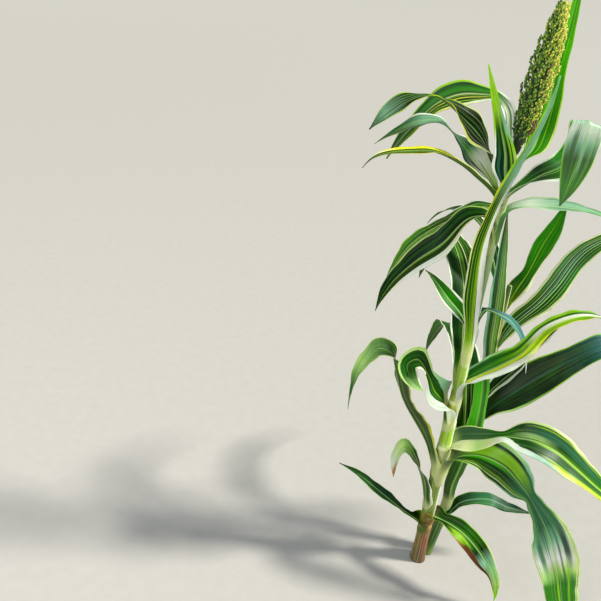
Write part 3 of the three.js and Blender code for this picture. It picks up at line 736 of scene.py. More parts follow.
grow_leaf(
    "second_back", SECOND_STEM, seed=45, node=225, heading=96, width=60, fold=16, wave=4, parted=True,
    path=[(26, 320, 0, 0), (90, 420, 0, 0), (180, 450, 0, 0), (260, 400, 0, 0), (320, 290, 0, 0)],
    tones=[(0, "green"), (0.3, "deep"), (0.7, "green"), (1, "deep")],
)


# Middle leaves. The widest blades, borne round the plant's middle. Their margins are broad
# and white near the stem, and narrow towards the tip, where they turn cream or yellow.
grow_leaf(
    "wide_right", MAIN_STEM, seed=90, node=317, heading=-20, width=72, fold=14, wave=3,
    path=[(19, 332, 0, 20, 1.5), (67, 358, 0, 25, 0.8), (97, 380, 0, 10, 0.4), (120, 386, 0, 25, 0.8),
          (150, 390, 0, 35, 0.95), (187, 381, 0, 35, 0.95), (220, 362, 0, 35, 0.9),
          (262, 335, 0, 30, 0.75), (320, 300, 0, 20, 0.6), (380, 254, 0, 10, 0.6)],
    tones=[(0.3, "green"), (0.42, "deep"), (0.6, "green"), (0.8, "bright"), (1, "green")],
    left=[(0, 0.9), (0.12, 1.15), (0.28, 1.1), (0.36, 0.4), (0.48, 0.24), (0.6, 0.1), (1, 0.08)],
    left_edge=[(0.14, "cream"), (0.19, "pale"), (0.24, "cream"), (0.3, "white"), (0.46, "grey"),
               (0.6, "cream"), (1, "lime")],
    right=[(0, 0.06), (0.36, 0.08), (0.46, 0.12), (0.56, 0.2), (0.66, 0.12), (0.8, 0.06), (1, 0.05)],
    edge=[(0, "lime"), (0.3, "cream"), (0.4, "pale"), (0.55, "cream"), (0.7, "pale"), (1, "lime")],
    stripes=[(-0.02, 0.13, "lime", 0.9, 0.42, 1), (-0.78, 0.14, "yellow", 0.9, 0.5, 0.8),
             (-0.62, 0.08, "lime", 0.8, 0.46, 0.8), (-0.3, 0.16, "green", 0.8, 0.4, 0.9),
             (0.25, 0.2, "pale", 0.6, 0.36, 0.46), (0.55, 0.3, "sea", 0.7, 0.4, 0.7),
             (0.78, 0.05, "lime", 0.9, 0.4, 0.7)],
    lines=0.12, bands=0.15, gloss=0.4,
)
grow_leaf(
    "mid_left_white", MAIN_STEM, seed=95, node=383, heading=196, width=64, fold=24, wave=5, parted=True,
    path=[(22, 425, 0, -20), (46, 456, 0, -60), (62, 488, 0, -60, 0.5), (90, 528, 0, -40, 0.85),
          (110, 523, 4, -40, 0.9), (106, 503, 16, -60, 1.2), (86, 484, 30, -60, 1.2)],
    tones=[(0, "lime"), (0.12, "green"), (0.4, "green"), (0.6, "deep"), (0.85, "green"), (1, "pale")],
    left=[(0, 0.6), (0.2, 0.7), (0.4, 0.6), (0.55, 0.3), (1, 0.2)],
    # Painted shade: the grey in the left margin and the dulled white in the right margin darken white
    # margins.
    left_edge=[(0, "yellow"), (0.1, "cream"), (0.2, "beige"), (0.4, "grey"), (0.6, "pale")],
    right=[(0, 0.6), (0.2, 0.7), (0.4, 0.6), (0.55, 0.34), (0.8, 0.24), (1, 0.2)],
    edge=[(0, "yellow"), (0.1, "cream"), (0.2, "painted_shade_white"), (0.5, "painted_shade_white"), (0.62, "cream"), (1, "white")],
    bands=0.2, rib="lime",
)
grow_leaf(
    "mid_right", MAIN_STEM, seed=100, node=428, heading=4, width=54, fold=24, wave=4,
    path=[(11, 468, 0, 5), (33, 486, 0, 10), (66, 508, 0, 30, 0.9), (98, 534, 0, 30, 0.7),
          (130, 586, 0, 20, 0.65), (186, 614, 0, 0, 0.5), (250, 602, 0, 0, 0.6), (310, 560, 0, 0, 0.6)],
    tones=[(0, "cream"), (0.14, "green"), (0.3, "bright"), (0.45, "lime"), (0.62, "lime"),
           (0.8, "bright"), (1, "lime")],
    left=[(0, 0.4), (0.14, 0.64), (0.36, 0.66), (0.48, 0.3), (0.7, 0.12), (1, 0.08)],
    left_edge=[(0.36, "white"), (0.5, "yellow"), (1, "lime")],
    right=[(0, 0.4), (0.14, 0.2), (0.38, 0.1), (1, 0.06)],
    edge=[(0, "white"), (0.14, "grey"), (0.4, "pale"), (0.54, "lime")],
    stripes=[(-0.15, 0.18, "yellow", 0.9, 0.14, 0.5), (0.6, 0.14, "green", 0.9, 0.12, 0.9),
             (0.25, 0.3, "white", 0.95, 0.48, 0.84), (0.1, 0.05, "yellow", 0.9, 0.5, 0.8)],
    lines=0.3,
)
grow_leaf(
    "mid_back", MAIN_STEM, seed=105, node=460, heading=97, width=58, fold=16, wave=4, parted=True,
    path=[(28, 545, 0, 0), (80, 635, 0, 0), (170, 670, 0, 0), (250, 620, 0, 0), (310, 520, 0, 0)],
    tones=[(0, "green"), (0.3, "deep"), (0.7, "green"), (1, "deep")],
    stripes=[(-0.4, 0.04, "cream", 0.8)],
)
grow_leaf(
    "upright_front", MAIN_STEM, seed=110, node=530, heading=-90, width=40, fold=30, wave=2, wrap=1.25,
    path=[(14, 580, -5, 0, 0.9), (22, 648, -16, 0, 0.9), (30, 739, -26, 0, 0.65), (36, 810, -20, 0, 0.5),
          (40, 868, -6, 0, 0.5), (46, 915, 7, 0, 0.55), (52, 957, 14, 0, 0.6), (58, 998, 15, 0, 0.7)],
    tones=[(0.1, "lime"), (0.25, "green"), (0.5, "green"), (0.62, "deep"), (0.74, "grey")],
    left=[(0.3, 0.16), (0.6, 0.2), (0.75, 0.5), (1, 0.3)],
    left_edge=[(0.4, "cream"), (0.6, "yellow"), (0.75, "lime")],
    right=[(0, 0.5), (0.15, 0.6), (0.35, 0.78), (0.6, 0.76), (0.75, 0.6), (1, 0.4)],
    edge=[(0, "cream"), (0.12, "white"), (0.6, "white"), (0.74, "grey")],
    stripes=[(-0.76, 0.03, "deep", 0.9, 0.1, 0.6), (-0.6, 0.06, "lime", 0.95, 0.05, 0.7),
             (-0.42, 0.03, "deep", 0.9, 0.15, 0.6), (-0.28, 0.05, "lime", 0.9, 0.03, 0.7),
             (0.0, 0.05, "deep", 0.8, 0.2, 0.6), (0.13, 0.05, "yellow", 0.9, 0.05, 0.55)],
    rib="lime", under_share=0.0, lines=0.2,
)
grow_leaf(
    "thin_left", MAIN_STEM, seed=115, node=574, heading=148, width=32, fold=22, wave=2,
    path=[(23, 600, 0, -20), (51, 622, 0, -30), (77, 645, 0, -30), (100, 660, 0, 0)],
    tones=[(0, "beige"), (0.25, "green"), (0.6, "bright"), (1, "deep")], left=[(0, 0.3), (1, 0.08)],
    right=[(0, 0.5), (0.4, 0.3), (1, 0.08)], edge=[(0, "beige"), (0.4, "white"), (1, "cream")],
    bands=0.2,
)
grow_leaf(
    "small_blue", MAIN_STEM, seed=120, node=596, heading=18, width=17, fold=10, wave=1,
    path=[(17, 616, 0, 0), (45, 606, 0, 20), (77, 586, 0, 40), (112, 541, 0, 60), (138, 470, 0, 40)],
    # Painted sky reflection: the sky along the middle and end of the blade.
    tones=[(0, "green"), (0.25, "blue"), (0.42, "sky"), (0.8, "sky"), (0.97, "white")],
    left=[(0, 0.1), (1, 0.06)], right=[(0, 0.1), (1, 0.06)],
    edge=[(0, "green"), (0.4, "grey"), (1, "white")],
    bands=0.05, lines=0.3, gloss=0.5,
)
grow_leaf(
    "second_dark_wide", SECOND_STEM, seed=125, node=296, heading=6, width=70, fold=12, wave=3,
    parted=True,
    path=[(22, 362, 0, 0), (59, 404, 0, 25), (104, 446, 0, 35), (164, 493, 0, 35, 0.75),
          (212, 520, 0, 25, 0.85), (290, 526, 0, 10, 1.2), (365, 480, 0, 0, 1.2)],
    # Painted sky reflection: the sky at 0.75, with the blue round it, on the dark blade.
    tones=[(0, "green"), (0.15, "deep"), (0.5, "deep"), (0.6, "blue"), (0.75, "sky"), (0.88, "blue"),
           (1, "deep")],
    left=[(0, 0.2), (0.25, 0.14), (0.5, 0.06), (1, 0.04)], right=[(0, 0.1), (1, 0.04)],
    edge=[(0, "cream"), (0.25, "pale"), (0.4, "lime")],
    rib="sea", bands=0.1, lines=0.15, gloss=0.6,
)
grow_leaf(
    "second_right", SECOND_STEM, seed=130, node=372, heading=20, width=42, fold=14, wave=2,
    path=[(16, 404, 0, 0, 0.8), (74, 464, 0, -20), (122, 526, 0, -20), (160, 568, 0, 0)],
    tones=[(0, "green"), (0.3, "deep"), (0.8, "green"), (1, "deep")],
    left=[(0, 0.5), (0.3, 0.56), (0.5, 0.3), (0.7, 0.5), (1, 0.3)], right=[(0, 0.2), (1, 0.1)],
    edge=[(0, "cream"), (0.3, "white"), (0.8, "white"), (1, "yellow")],
    bands=0.2,
)
grow_leaf(
    "second_upright", SECOND_STEM, seed=135, node=430, heading=-90, width=30, fold=28, wave=2,
    path=[(16, 505, -9, 0, 0.8), (16, 545, -14, 0), (18, 620, -21, 0), (22, 705, -33, 0),
          (24, 782, -44, 0)],
    tones=[(0, "lime"), (0.15, "green"), (0.5, "green"), (0.8, "sea"), (1, "deep")],
    left=[(0.3, 0.4), (0.6, 0.3), (1, 0.2)],
    left_edge=[(0, "white"), (0.4, "grey"), (0.8, "grey"), (1, "cream")],
    right=[(0, 0.2), (0.5, 0.16), (1, 0.1)], edge=[(0, "lime"), (0.4, "cream")],
    stripes=[(0.3, 0.07, "lime", 0.9), (-0.2, 0.04, "cream", 0.8), (0.05, 0.05, "deep", 0.8)],
)
grow_leaf(
    "second_high_right", SECOND_STEM, seed=140, node=478, heading=10, width=48, fold=16, wave=3,
    parted=True,
    path=[(9, 514, 0, 0, 0.8), (30, 558, 0, 0), (67, 600, 0, 20), (90, 638, 0, 20), (116, 696, 0, 20),
          (150, 723, 0, 10), (210, 738, 0, 0), (270, 716, 0, 0)],
    # Painted highlight: the sea at 0.55 stands for a bluish sky reflection on the green blade.
    tones=[(0, "lime"), (0.15, "green"), (0.4, "green"), (0.55, "sea"), (0.7, "green"), (1, "deep")],
    left=[(0.3, 0.3), (0.5, 0.16), (1, 0.1)], right=[(0, 0.3), (0.3, 0.2), (1, 0.1)],
    edge=[(0, "lime"), (0.2, "cream")],
    stripes=[(0.45, 0.03, "cream", 0.9), (0.2, 0.025, "white", 0.9), (-0.3, 0.03, "cream", 0.9),
             (-0.55, 0.03, "lime", 0.8)],
    lines=0.4, bands=0.15,
)


# Upper leaves. Narrower blades below the seed head, most of them thrown over to the left in
# long arches. The flag leaf is the last one, and stands up close behind the head.
grow_leaf(
    "arch_left", MAIN_STEM, seed=190, node=745, heading=172, width=48, fold=16, wave=3, parted=True,
    path=[(18, 780, 0, 0, 0.8), (45, 774, 0, -20), (76, 728, 0, -40), (112, 692, 0, -45),
          (146, 645, 0, -40), (165, 590, 0, -30)],
    tones=[(0, "green"), (0.2, "deep")], left=[(0, 0.14), (0.4, 0.1), (1, 0.06)],
    left_edge=[(0, "lime"), (0.4, "pale"), (1, "cream")],
    right=[(0, 0.2), (0.35, 0.42), (0.7, 0.4), (1, 0.2)],
    edge=[(0, "lime"), (0.3, "cream"), (0.6, "white"), (1, "cream")],
    stripes=[(0.1, 0.03, "lime", 0.8), (-0.45, 0.12, "green", 0.8)],
    lines=0.14, bands=0.15,
)
grow_leaf(
    "arch_left_behind", MAIN_STEM, seed=195, node=770, heading=166, width=36, fold=14, wave=3,
    parted=True,
    path=[(9, 788, -14, 0, 0.6), (30, 782, -29, -10, 0.8), (56, 762, -35, -20), (94, 732, -34, -35, 1.2),
          (120, 706, -33, -40, 1.3), (140, 674, -33, -35, 1.3), (158, 635, -33, -20)],
    tones=[(0, "deep"), (0.3, "green"), (0.5, "deep"), (0.7, "bright")],
    left=[(0, 0.1), (0.4, 0.16), (0.6, 0.4), (0.9, 0.46), (1, 0.2)], right=[(0, 0.08), (1, 0.08)],
    edge=[(0.5, "white"), (0.68, "cream"), (0.85, "yellow"), (1, "cream")],
    stripes=[(0.2, 0.05, "cream", 0.9), (-0.15, 0.06, "lime", 0.8), (0.6, 0.04, "pale", 0.9)],
    lines=0.4,
)
grow_leaf(
    "level_right", MAIN_STEM, seed=200, node=762, heading=354, width=32, fold=16, wave=2,
    path=[(12, 794, 0, 0), (42, 806, 0, 10), (109, 808, 0, 10), (160, 798, 0, 0), (225, 766, 0, 0)],
    # Painted sky reflection: the grey and white along the glossy blade.
    tones=[(0, "lime"), (0.14, "grey"), (0.32, "white"), (0.46, "grey"), (0.68, "grey"), (0.8, "sea")],
    left=[(0, 0.14), (0.5, 0.12), (1, 0.1)],
    left_edge=[(0.25, "lime"), (0.4, "white"), (0.6, "lime"), (1, "bright")],
    right=[(0, 0.08), (1, 0.06)], edge=[(0, "lime"), (1, "pale")],
    bands=0.1, under="bright", under_share=0.7, lines=0.35, gloss=0.6,
)
grow_leaf(
    "band_left", MAIN_STEM, seed=205, node=800, heading=194, width=30, fold=14, wave=1,
    path=[(20, 822, 0, 0), (54, 848, 0, 0), (82, 866, 0, 0), (120, 882, 0, 0), (150, 884, 0, -10),
          (205, 878, 0, -10), (228, 860, 0, 0)],
    tones=[(0, "green"), (0.4, "deep")], left=[(0, 0.2), (0.3, 0.4), (0.55, 0.5), (0.8, 0.5), (1, 0.3)],
    right=[(0, 0.14), (1, 0.12)],
    edge=[(0, "cream"), (0.3, "lime"), (0.5, "yellow"), (0.8, "yellow"), (1, "white")],
    stripes=[(-0.2, 0.1, "lime", 0.8, 0.3, 1)],
)
grow_leaf(
    "upright_left", MAIN_STEM, seed=210, node=824, heading=-90, width=33, fold=20, wave=1,
    path=[(16, 844, -8, 0), (22, 864, -15, 0, 1.2), (26, 889, -22, 0, 0.9), (30, 928, -39, 0, 0.55),
          (32, 962, -54, 0, 0.5), (32, 1002, -71, 0, 0.6)],
    tones=[(0, "white"), (0.14, "grey"), (0.24, "blue"), (0.45, "deep"), (0.6, "green"), (0.72, "lime")],
    left=[(0, 0.6), (0.2, 0.3), (0.5, 0.16), (0.6, 0.3), (1, 0.4)],
    left_edge=[(0.5, "white"), (0.62, "lime")],
    right=[(0, 0.6), (0.2, 0.3), (0.5, 0.3), (0.6, 0.5), (1, 0.3)],
    edge=[(0, "white"), (0.2, "cream"), (0.45, "lime"), (0.56, "grey"), (0.7, "grey"), (0.8, "lime")],
    stripes=[(-0.5, 0.14, "sea", 0.8, 0.16, 0.5), (0.5, 0.12, "lime", 0.9, 0.16, 0.6)],
    under_share=0.0, lines=0.2,
)
grow_leaf(
    "high_left", MAIN_STEM, seed=215, node=808, heading=173, width=46, fold=12, wave=3,
    path=[(22, 834, 0, -20, 0.9), (65, 877, 0, -30, 1.15), (90, 901, 0, 0, 0.6), (111, 914, 0, 0, 0.9),
          (142, 910, 0, -20), (172, 896, 0, -20), (202, 874, 0, 0)],
    tones=[(0.12, "deep"), (0.2, "pale"), (0.34, "white"), (0.44, "sea"), (0.52, "grey"), (0.72, "grey"),
           (0.85, "green")],
    left=[(0, 0.16), (0.5, 0.2), (1, 0.1)],
    left_edge=[(0, "pale"), (0.3, "white"), (0.7, "white"), (1, "cream")],
    right=[(0, 0.16), (0.3, 0.2), (0.6, 0.3), (1, 0.16)],
    edge=[(0, "pale"), (0.4, "green"), (0.7, "deep"), (1, "cream")],
    stripes=[(0.5, 0.24, "deep", 0.85, 0.1, 0.4), (-0.2, 0.05, "deep", 0.7, 0.12, 0.34)],
    bands=0.15, lines=0.6, gloss=0.6,
)
grow_leaf(
    "curled_right", MAIN_STEM, seed=220, node=816, heading=-6, width=48, fold=10, wave=2, parted=True,
    path=[(16, 828, 0, 0, 0.7), (43, 852, 0, 20), (72, 872, 0, 50, 0.9), (84, 908, -3, 80, 0.8),
          (84, 936, -10, 80), (83, 938, -24, 80), (80, 912, -32, 80, 1.25), (78, 868, -36, 80, 1.55),
          (72, 822, -34, 80, 1.6)],
    # Painted shadow: the deep band at 0.26 on the rising blade. Painted sky reflection: the grey and
    # white over the curl's top, 0.6 to 0.72, and the grey stripe from 0.68 to 0.84.
    tones=[(0, "green"), (0.16, "bright"), (0.26, "deep"), (0.34, "bright"), (0.56, "bright"),
           (0.6, "grey"), (0.66, "white"), (0.72, "grey"), (0.78, "green"), (0.9, "bright"),
           (1, "green")],
    left=[(0, 0.3), (0.3, 0.26), (0.5, 0.14), (0.6, 0.06), (1, 0.05)],
    right=[(0, 0.16), (0.3, 0.14), (0.6, 0.06), (0.8, 0.1)],
    edge=[(0, "cream"), (0.3, "white"), (0.55, "cream"), (0.65, "white"), (0.8, "lime")],
    stripes=[(-0.2, 0.03, "pale", 0.9, 0.1, 0.55), (0.5, 0.2, "green", 0.7, 0.66, 0.9),
             (-0.1, 0.1, "grey", 0.8, 0.68, 0.84), (0.1, 0.03, "lime", 0.8, 0.8, 1)],
    lines=0.3, gloss=0.8, bands=0.1, band="bright",
)
grow_leaf(
    "top_left", MAIN_STEM, seed=225, node=832, heading=177, width=46, fold=12, wave=4, parted=True,
    path=[(30, 868, -5, 0, 0.7), (46, 893, -3, -25, 1), (62, 909, 0, -35, 1.2), (84, 926, 0, -20, 1.05),
          (104, 941, 0, -10, 0.5), (124, 950, 0, -10, 0.45), (148, 950, 0, -20, 0.55),
          (170, 940, 0, -35, 0.95), (191, 922, 0, -40, 1.3), (212, 898, 0, -40, 1.3)],
    tones=[(0, "green"), (0.1, "deep"), (0.55, "deep"), (0.65, "green"), (0.78, "deep"), (0.9, "grey"),
           (1, "deep")],
    left=[(0.5, 0.1), (1, 0.1)], left_edge=[(0, "pale"), (0.4, "cream"), (0.6, "lime")],
    right=[(0, 0.2), (0.3, 0.24), (0.6, 0.16), (1, 0.1)],
    edge=[(0, "yellow"), (0.3, "cream"), (0.5, "yellow"), (1, "lime")],
    stripes=[(0.3, 0.025, "pale", 0.9), (-0.3, 0.025, "pale", 0.9), (0.62, 0.025, "cream", 0.9, 0, 0.6),
             (-0.62, 0.02, "pale", 0.9)],
    lines=0.35, bands=0.1,
)
grow_leaf(
    "wide_back", MAIN_STEM, seed=230, node=840, heading=94, width=46, fold=8, wave=3, parted=True,
    path=[(10, 868, -2, 0, 0.5), (20, 884, 1, 0, 0.6), (26, 908, 5, 0, 0.55), (32, 934, 11, 0, 0.55),
          (44, 950, 26, 0, 0.45), (58, 951, 50, 0, 0.75), (64, 947, 80, 0), (66, 930, 111, 0),
          (64, 886, 148, 0), (64, 846, 172, 0)],
    tones=[(0, "green"), (0.12, "white"), (0.36, "white"), (0.44, "green"), (0.55, "deep"),
           (0.8, "green"), (1, "deep")],
    left=[(0.4, 0.3), (0.55, 0.16), (1, 0.1)], left_edge=[(0.4, "white"), (0.5, "lime")],
    right=[(0.4, 0.4), (0.55, 0.24), (1, 0.1)],
    edge=[(0.4, "white"), (0.55, "cream"), (0.75, "yellow"), (1, "lime")],
    stripes=[(0.35, 0.05, "yellow", 0.9, 0.45, 0.8), (0.05, 0.035, "cream", 0.9, 0.45, 1),
             (0.6, 0.04, "lime", 0.9, 0.45, 1), (-0.4, 0.3, "bright", 0.8, 0.42, 0.8),
             (-0.2, 0.12, "green", 0.8, 0.15, 0.4), (0.4, 0.1, "green", 0.7, 0.15, 0.4)],
    lines=0.3, gloss=0.6,
)
grow_leaf(
    "flag", MAIN_STEM, seed=235, node=860, heading=5, width=34, fold=12, wave=1,
    path=[(16, 870, 1, 20, 0.5), (32, 886, 14, 60, 1.2), (41, 908, 26, 75, 1.3), (46, 950, 31, 75, 1.15),
          (46, 995, 33, 75, 0.85), (47, 1032, 31, 75, 0.85), (47, 1070, 29, 75, 0.9), (46, 1118, 27, 75)],
    tones=[(0, "cream"), (0.12, "bright"), (0.4, "bright"), (0.7, "vivid"), (1, "bright")],
    left=[(0, 0.16), (0.5, 0.12), (1, 0.1)], right=[(0, 0.12), (1, 0.08)],
    edge=[(0, "cream"), (0.5, "lime")],
    stripes=[(0.45, 0.1, "deep", 0.8, 0.1, 0.7), (0.7, 0.05, "lime", 0.9), (0.15, 0.06, "vivid", 0.9),
             (-0.4, 0.05, "lime", 0.8)],
    lines=0.2, bands=0.2,
)
grow_leaf(
    "second_top_right", SECOND_STEM, seed=240, node=590, heading=34, width=38, fold=12, wave=2,
    path=[(26, 624, 3, 20), (44, 655, 2, 60, 0.7), (60, 706, 0, 60, 1.2), (74, 745, -5, 60, 1.25),
          (82, 784, -8, 60, 1.1)],
    tones=[(0, "beige"), (0.2, "olive"), (0.35, "green"), (0.6, "bright"), (0.9, "bright"), (1, "deep")],
    left=[(0, 0.2), (0.3, 0.3), (0.5, 0.1), (1, 0.06)], right=[(0, 0.1), (1, 0.06)],
    edge=[(0.5, "cream"), (1, "grey")],
    bands=0.15, lines=0.1, rib="lime",
)
grow_leaf(
    "second_top_back", SECOND_STEM, seed=245, node=540, heading=134, width=36, fold=14, wave=3,
    parted=True,
    path=[(16, 600, 0, 0), (42, 672, 0, 0), (85, 728, 0, 0), (140, 735, 0, 0), (190, 690, 0, 0)],
    tones=[(0, "green"), (0.5, "deep"), (1, "green")],
)


# Seed head. A close spindle of short branches pressed to their stalk, each set with plump
# green spikelets. The grains are drawn riper towards the top. On the side towards the key
# light they lean to yellow, a painted light, and on the far side to the dark shaded kind, a
# painted shade; a dark core shows through the gaps as painted shade.
HEAD_BASE = 872
HEAD_LENGTH = 216
HEAD_RADIUS = 20
HEAD_LEAN = math.radians(5)
HEAD_PROFILE = [(0, 0.16), (0.1, 0.38), (0.25, 0.74), (0.5, 0.95), (0.72, 0.8), (0.9, 0.42), (1, 0.12)]
HEAD_FOOT = 4
HEAD_TOP_GAP = 14
GOLDEN_ANGLE = 2.39996
BRANCH_COUNT = 92
BRANCHES_FROM = 0.02
BRANCHES_SPAN = 0.9
BRANCH_PARTS = 6
BRANCH_LENGTH = 0.2 * HEAD_LENGTH
BRANCH_SHORTENING = 0.45
BRANCH_TOP_GAP = 6
BRANCH_BULGE = (0.86, 1.08)
BRANCH_ROOT = 0.15
BRANCH_PACE = 1.4
TWIG_RADIUS = 0.55
TWIG_OVERLAP = 0.62
TWIG_SIDES = 5
TWIG_RISE = 4
GRAINS_ON_BRANCH = 34
GRAIN_SIZE = (1.1, 1.0, 1.8)
GRAIN_SIDES = 7
GRAIN_RISE = 5
GRAINS_FROM = 0.12
GRAIN_SPREAD = 3.4
GRAIN_DEPTH = (-1.2, 1.6)
GRAIN_JITTER = 0.7
GRAIN_GROWTH = (0.85, 1.2)
# SUN_SIDE and SUN_SHARE tip the draw towards ripe and straw on the key light's side and towards shaded on
# the far side: painted light and shade.
SUN_SIDE = np.array([0.9, 0.1, 0])
SUN_SHARE = 0.38
HEIGHT_SHARE = 0.3
RIPENESS_AND_LIGHT_MIDDLE = 0.56
RIPENESS_AND_LIGHT_SPREAD = 0.2
RIPENESS_AND_SHADE_STEPS = [(0.3, "shaded"), (0.58, "green"), (0.86, "ripe")]
FLUSHED_BELOW = 60
CORE_WIDTH = 0.55
CORE_MIDDLE = 0.46
CORE_HALF_LENGTH = 0.45
CORE_SIDES = 24
# The shaded kind is a painted shade, drawn most on the side away from the key light; ripe and straw are
# drawn most on the lit side, partly a painted light.
GRAIN_KINDS = {
    "shaded": (tone(70, 110, 22), tone(40, 74, 14)),
    "green": (tone(136, 170, 40), tone(96, 140, 28)),
    "ripe": (tone(212, 214, 74), tone(170, 190, 50)),
    "straw": (tone(236, 224, 120), tone(214, 206, 80)),
    "flushed": (tone(150, 92, 84), tone(130, 110, 60)),
}
head_random = random.Random(41)


def on_head(point):
    """A point of the upright head, leaned over on its stalk."""
    x, y, z = point
    return (
        x * math.cos(HEAD_LEAN) + z * math.sin(HEAD_LEAN),
        y,
        HEAD_BASE + z * math.cos(HEAD_LEAN) - x * math.sin(HEAD_LEAN),
    )


def spindle(mesh, centre, axis, radii, sides, rise, twist=0):
    """Adds a small pointed ellipsoid that stands along axis to a mesh's points and faces."""
    vertices, faces = mesh
    axis = np.array(axis) / np.linalg.norm(axis)
    first = np.cross(axis, (0.3, 0.9, 0.1) if abs(axis[1]) < 0.9 else (1, 0, 0))
    first /= np.linalg.norm(first)
    second = np.cross(axis, first)
    start = len(vertices)
    vertices.append(centre - axis * radii[2])
    for i in range(1, rise):
        angle = math.pi * i / rise
        for j in range(sides):
            turn = 2 * math.pi * (j + 0.5 * i) / sides + twist
            flat = first * math.cos(turn) * radii[0] + second * math.sin(turn) * radii[1]
            vertices.append(centre + flat * math.sin(angle) ** 0.9 - axis * radii[2] * math.cos(angle))
    vertices.append(centre + axis * radii[2])
    last = len(vertices) - 1
    for j in range(sides):
        k = (j + 1) % sides
        faces.append((start, start + 1 + k, start + 1 + j))
        for i in range(rise - 2):
            a, b = start + 1 + i * sides + j, start + 1 + i * sides + k
            faces.append((a, b, b + sides, a + sides))
        ring = start + 1 + (rise - 2) * sides
        faces.append((ring + j, ring + k, last))


def branch_route(out, share, bulge):
    """Points of a short branch that leaves the stalk and then lies along the head."""
    low = HEAD_FOOT + share * (HEAD_LENGTH - HEAD_TOP_GAP)
    high = min(low + BRANCH_LENGTH * (1 - BRANCH_SHORTENING * share), HEAD_LENGTH - BRANCH_TOP_GAP)
    route = []
    for k in range(BRANCH_PARTS + 1):
        t = k / BRANCH_PARTS
        z = low + (high - low) * t
        wide = HEAD_RADIUS * bulge * between(HEAD_PROFILE, z / HEAD_LENGTH)
        opened = BRANCH_ROOT + (1 - BRANCH_ROOT) * min(1, BRANCH_PACE * t)
        route.append(out * wide * opened + np.array([0, 0, z]))
    return route


def grain_kind(out, height, draw):
    """The kind of a grain, by where it sits and by its draw of ripeness and painted light."""
    if height < FLUSHED_BELOW and out[0] > 0.2 and draw > 0.55:
        return "flushed"
    return next((kind for top, kind in RIPENESS_AND_SHADE_STEPS if draw < top), "straw")


def add_grain(route, out, number):
    """One grain at its place along a branch, pushed a little to the side and outwards."""
    t = GRAINS_FROM + (1 - GRAINS_FROM) * (number + head_random.random() * 0.6) / GRAINS_ON_BRANCH
    k = min(BRANCH_PARTS - 1, int(t * BRANCH_PARTS))
    place = route[k] + (route[k + 1] - route[k]) * (t * BRANCH_PARTS - k)
    jitter = np.array([head_random.uniform(-1, 1) for _ in range(3)])
    side = np.cross(out, (0, 0, 1)) * head_random.uniform(-GRAIN_SPREAD, GRAIN_SPREAD)
    place = place + side + out * head_random.uniform(*GRAIN_DEPTH) + jitter * GRAIN_JITTER
    axis = np.array([0, 0, 1]) + out * 0.35 + jitter * 0.4 + side * 0.08
    size = head_random.uniform(*GRAIN_GROWTH)
    # Painted light and shade: grains turned to the key light are drawn yellower, those turned away
    # darker.
    sun = SUN_SHARE * float(out @ SUN_SIDE) + HEIGHT_SHARE * (place[2] / HEAD_LENGTH - 0.45)
    ripeness_and_light = head_random.gauss(RIPENESS_AND_LIGHT_MIDDLE + sun, RIPENESS_AND_LIGHT_SPREAD)
    kind = grain_kind(out, place[2], ripeness_and_light)
    radii = [v * size for v in GRAIN_SIZE]
    spindle(grain_meshes[kind], place, axis, radii, GRAIN_SIDES, GRAIN_RISE, number)


def grain_skin(name, colours, seed):
    """Matt skin in two close colours, mottled from grain to grain."""
    s = Skin(name)
    place = s.add("ShaderNodeTexCoord", output=3)
    grain = s.mottle(place, seed, 1500.0, 2.0)
    tint = s.mix(s.span(s.mottle(place, seed, 420.0, 2.0), 0.35, 0.65), *colours)
    rough = s.plus(0.35, s.times(grain, 0.3))
    return s.surface(tint, rough, s.bump(grain, 0.2, 0.0004))


def add_head_piece(name, skin, mesh, nodes=()):
    vertices, faces = mesh
    piece = piece_from(name, [on_head(p) for p in vertices], faces)
    piece.data.materials.append(skin)
    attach(piece, "root")
    if nodes:
        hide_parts(*nodes)


grain_meshes = {kind: ([], []) for kind in GRAIN_KINDS}
twigs = ([], [])
for number in range(BRANCH_COUNT):
    turn = number * GOLDEN_ANGLE
    out = np.array([math.cos(turn), math.sin(turn), 0])
    share = BRANCHES_FROM + BRANCHES_SPAN * number / BRANCH_COUNT
    route = branch_route(out, share, head_random.uniform(*BRANCH_BULGE))
    for low, high in zip(route, route[1:]):
        radii = (TWIG_RADIUS, TWIG_RADIUS, np.linalg.norm(high - low) * TWIG_OVERLAP)
        spindle(twigs, (low + high) / 2, high - low, radii, TWIG_SIDES, TWIG_RISE)
    for grain in range(GRAINS_ON_BRANCH):
        add_grain(route, out, grain)

core = ([], [])
core_radii = (HEAD_RADIUS * CORE_WIDTH, HEAD_RADIUS * CORE_WIDTH, HEAD_LENGTH * CORE_HALF_LENGTH)
core_middle = np.array([0, 0, HEAD_LENGTH * CORE_MIDDLE])
spindle(core, core_middle, (0, 0, 1), core_radii, CORE_SIDES, CORE_SIDES)

for kind, colours in GRAIN_KINDS.items():
    nodes = ["seed_head"] if kind == "shaded" else []
    add_head_piece("grains_" + kind, grain_skin("grain_" + kind, colours, 3), grain_meshes[kind], nodes)
twig_skin = grain_skin("head_twigs_skin", (tone(150, 170, 84), tone(104, 128, 52)), 9)
add_head_piece("head_twigs", twig_skin, twigs)
# The core's dark green is a painted shade that shows through the gaps between grains.
core_skin = grain_skin("head_core_skin", (tone(34, 56, 22), tone(20, 36, 14)), 9)
add_head_piece("head_core", core_skin, core)


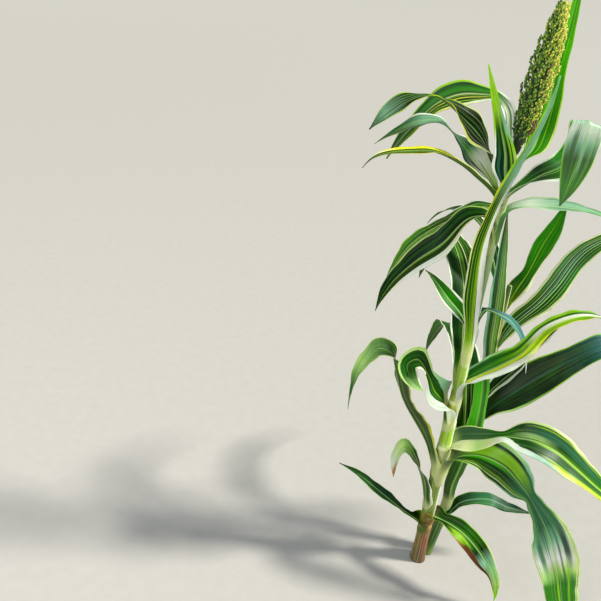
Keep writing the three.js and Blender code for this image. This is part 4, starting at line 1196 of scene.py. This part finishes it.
# Studio. A pale floor, level round the plant and rising slowly far off, a key light from the
# upper right as the sun stands, and a weak broad fill from the left.
FLOOR_LEVEL_RADIUS = 9000
FLOOR_RADIUS = 60000
FLOOR_EDGE_HEIGHT = 14700
FLOOR_RINGS = 24
FLOOR_SIDES = 96
PLANT_MIDDLE = (0.08, 0.05, 0.6)
KEY_PLACE = (1.8, 0.0, 2.35)
KEY_COLOUR = (1.0, 0.96, 0.88)
KEY_STRENGTH = 6.4
KEY_SOFTNESS = math.radians(8)
FILL_PLACE = (-1.8, -1.6, 1.9)
FILL_COLOUR = (0.9, 0.95, 1.0)
FILL_POWER = 34
FILL_WIDTH = 1.6
SKY_COLOUR = (0.86, 0.92, 1.0, 1)
SKY_STRENGTH = 0.62

floor_points = [(0, 0, 0)]
for i in range(FLOOR_RINGS + 1):
    rise = i / FLOOR_RINGS
    radius = FLOOR_LEVEL_RADIUS + (FLOOR_RADIUS - FLOOR_LEVEL_RADIUS) * rise
    height = FLOOR_EDGE_HEIGHT * rise ** 2
    for j in range(FLOOR_SIDES):
        turn = 2 * math.pi * j / FLOOR_SIDES
        floor_points.append((radius * math.cos(turn), radius * math.sin(turn), height))
floor_faces = []
for j in range(FLOOR_SIDES):
    k = (j + 1) % FLOOR_SIDES
    floor_faces.append((0, 1 + j, 1 + k))
    for i in range(FLOOR_RINGS):
        ring = 1 + i * FLOOR_SIDES
        floor_faces.append((ring + j, ring + FLOOR_SIDES + j, ring + FLOOR_SIDES + k, ring + k))
floor = piece_from("floor", floor_points, floor_faces)
floor_skin = Skin("pale_floor")
floor_place = floor_skin.add("ShaderNodeTexCoord", output=3)
floor_grain = floor_skin.add("ShaderNodeTexNoise", {"Vector": floor_place, "Scale": 40.0, "Detail": 4.0})
floor_colour = floor_skin.mix(floor_grain, tone(150, 148, 143), tone(158, 156, 150))
floor_bump = floor_skin.bump(floor_grain, 0.05, 0.001)
floor.data.materials.append(floor_skin.surface(floor_colour, 0.85, floor_bump))


def beam_axes(aim):
    """Axes of a light whose beam runs along aim."""
    back = -aim / np.linalg.norm(aim)
    right = np.cross((0, 0, 1), back)
    right /= np.linalg.norm(right)
    return np.array([right, np.cross(back, right), back]).T


def add_light(data, place, colour, energy):
    data.color = colour
    data.energy = energy
    light = bpy.data.objects.new(data.name, data)
    axes = beam_axes(np.array(PLANT_MIDDLE) - np.array(place))
    light.matrix_world = Matrix.Translation(place) @ Matrix(axes.tolist()).to_4x4()
    scene.collection.objects.link(light)


key_light = bpy.data.lights.new("key", "SUN")
key_light.angle = KEY_SOFTNESS
add_light(key_light, KEY_PLACE, KEY_COLOUR, KEY_STRENGTH)
fill_light = bpy.data.lights.new("fill", "AREA")
fill_light.shape = "DISK"
fill_light.size = FILL_WIDTH
add_light(fill_light, FILL_PLACE, FILL_COLOUR, FILL_POWER)
world = bpy.data.worlds.new("studio")
world.use_nodes = True
sky = world.node_tree.nodes["Background"]
sky.inputs["Color"].default_value = SKY_COLOUR
sky.inputs["Strength"].default_value = SKY_STRENGTH
scene.world = world
scene.view_settings.view_transform = "Standard"
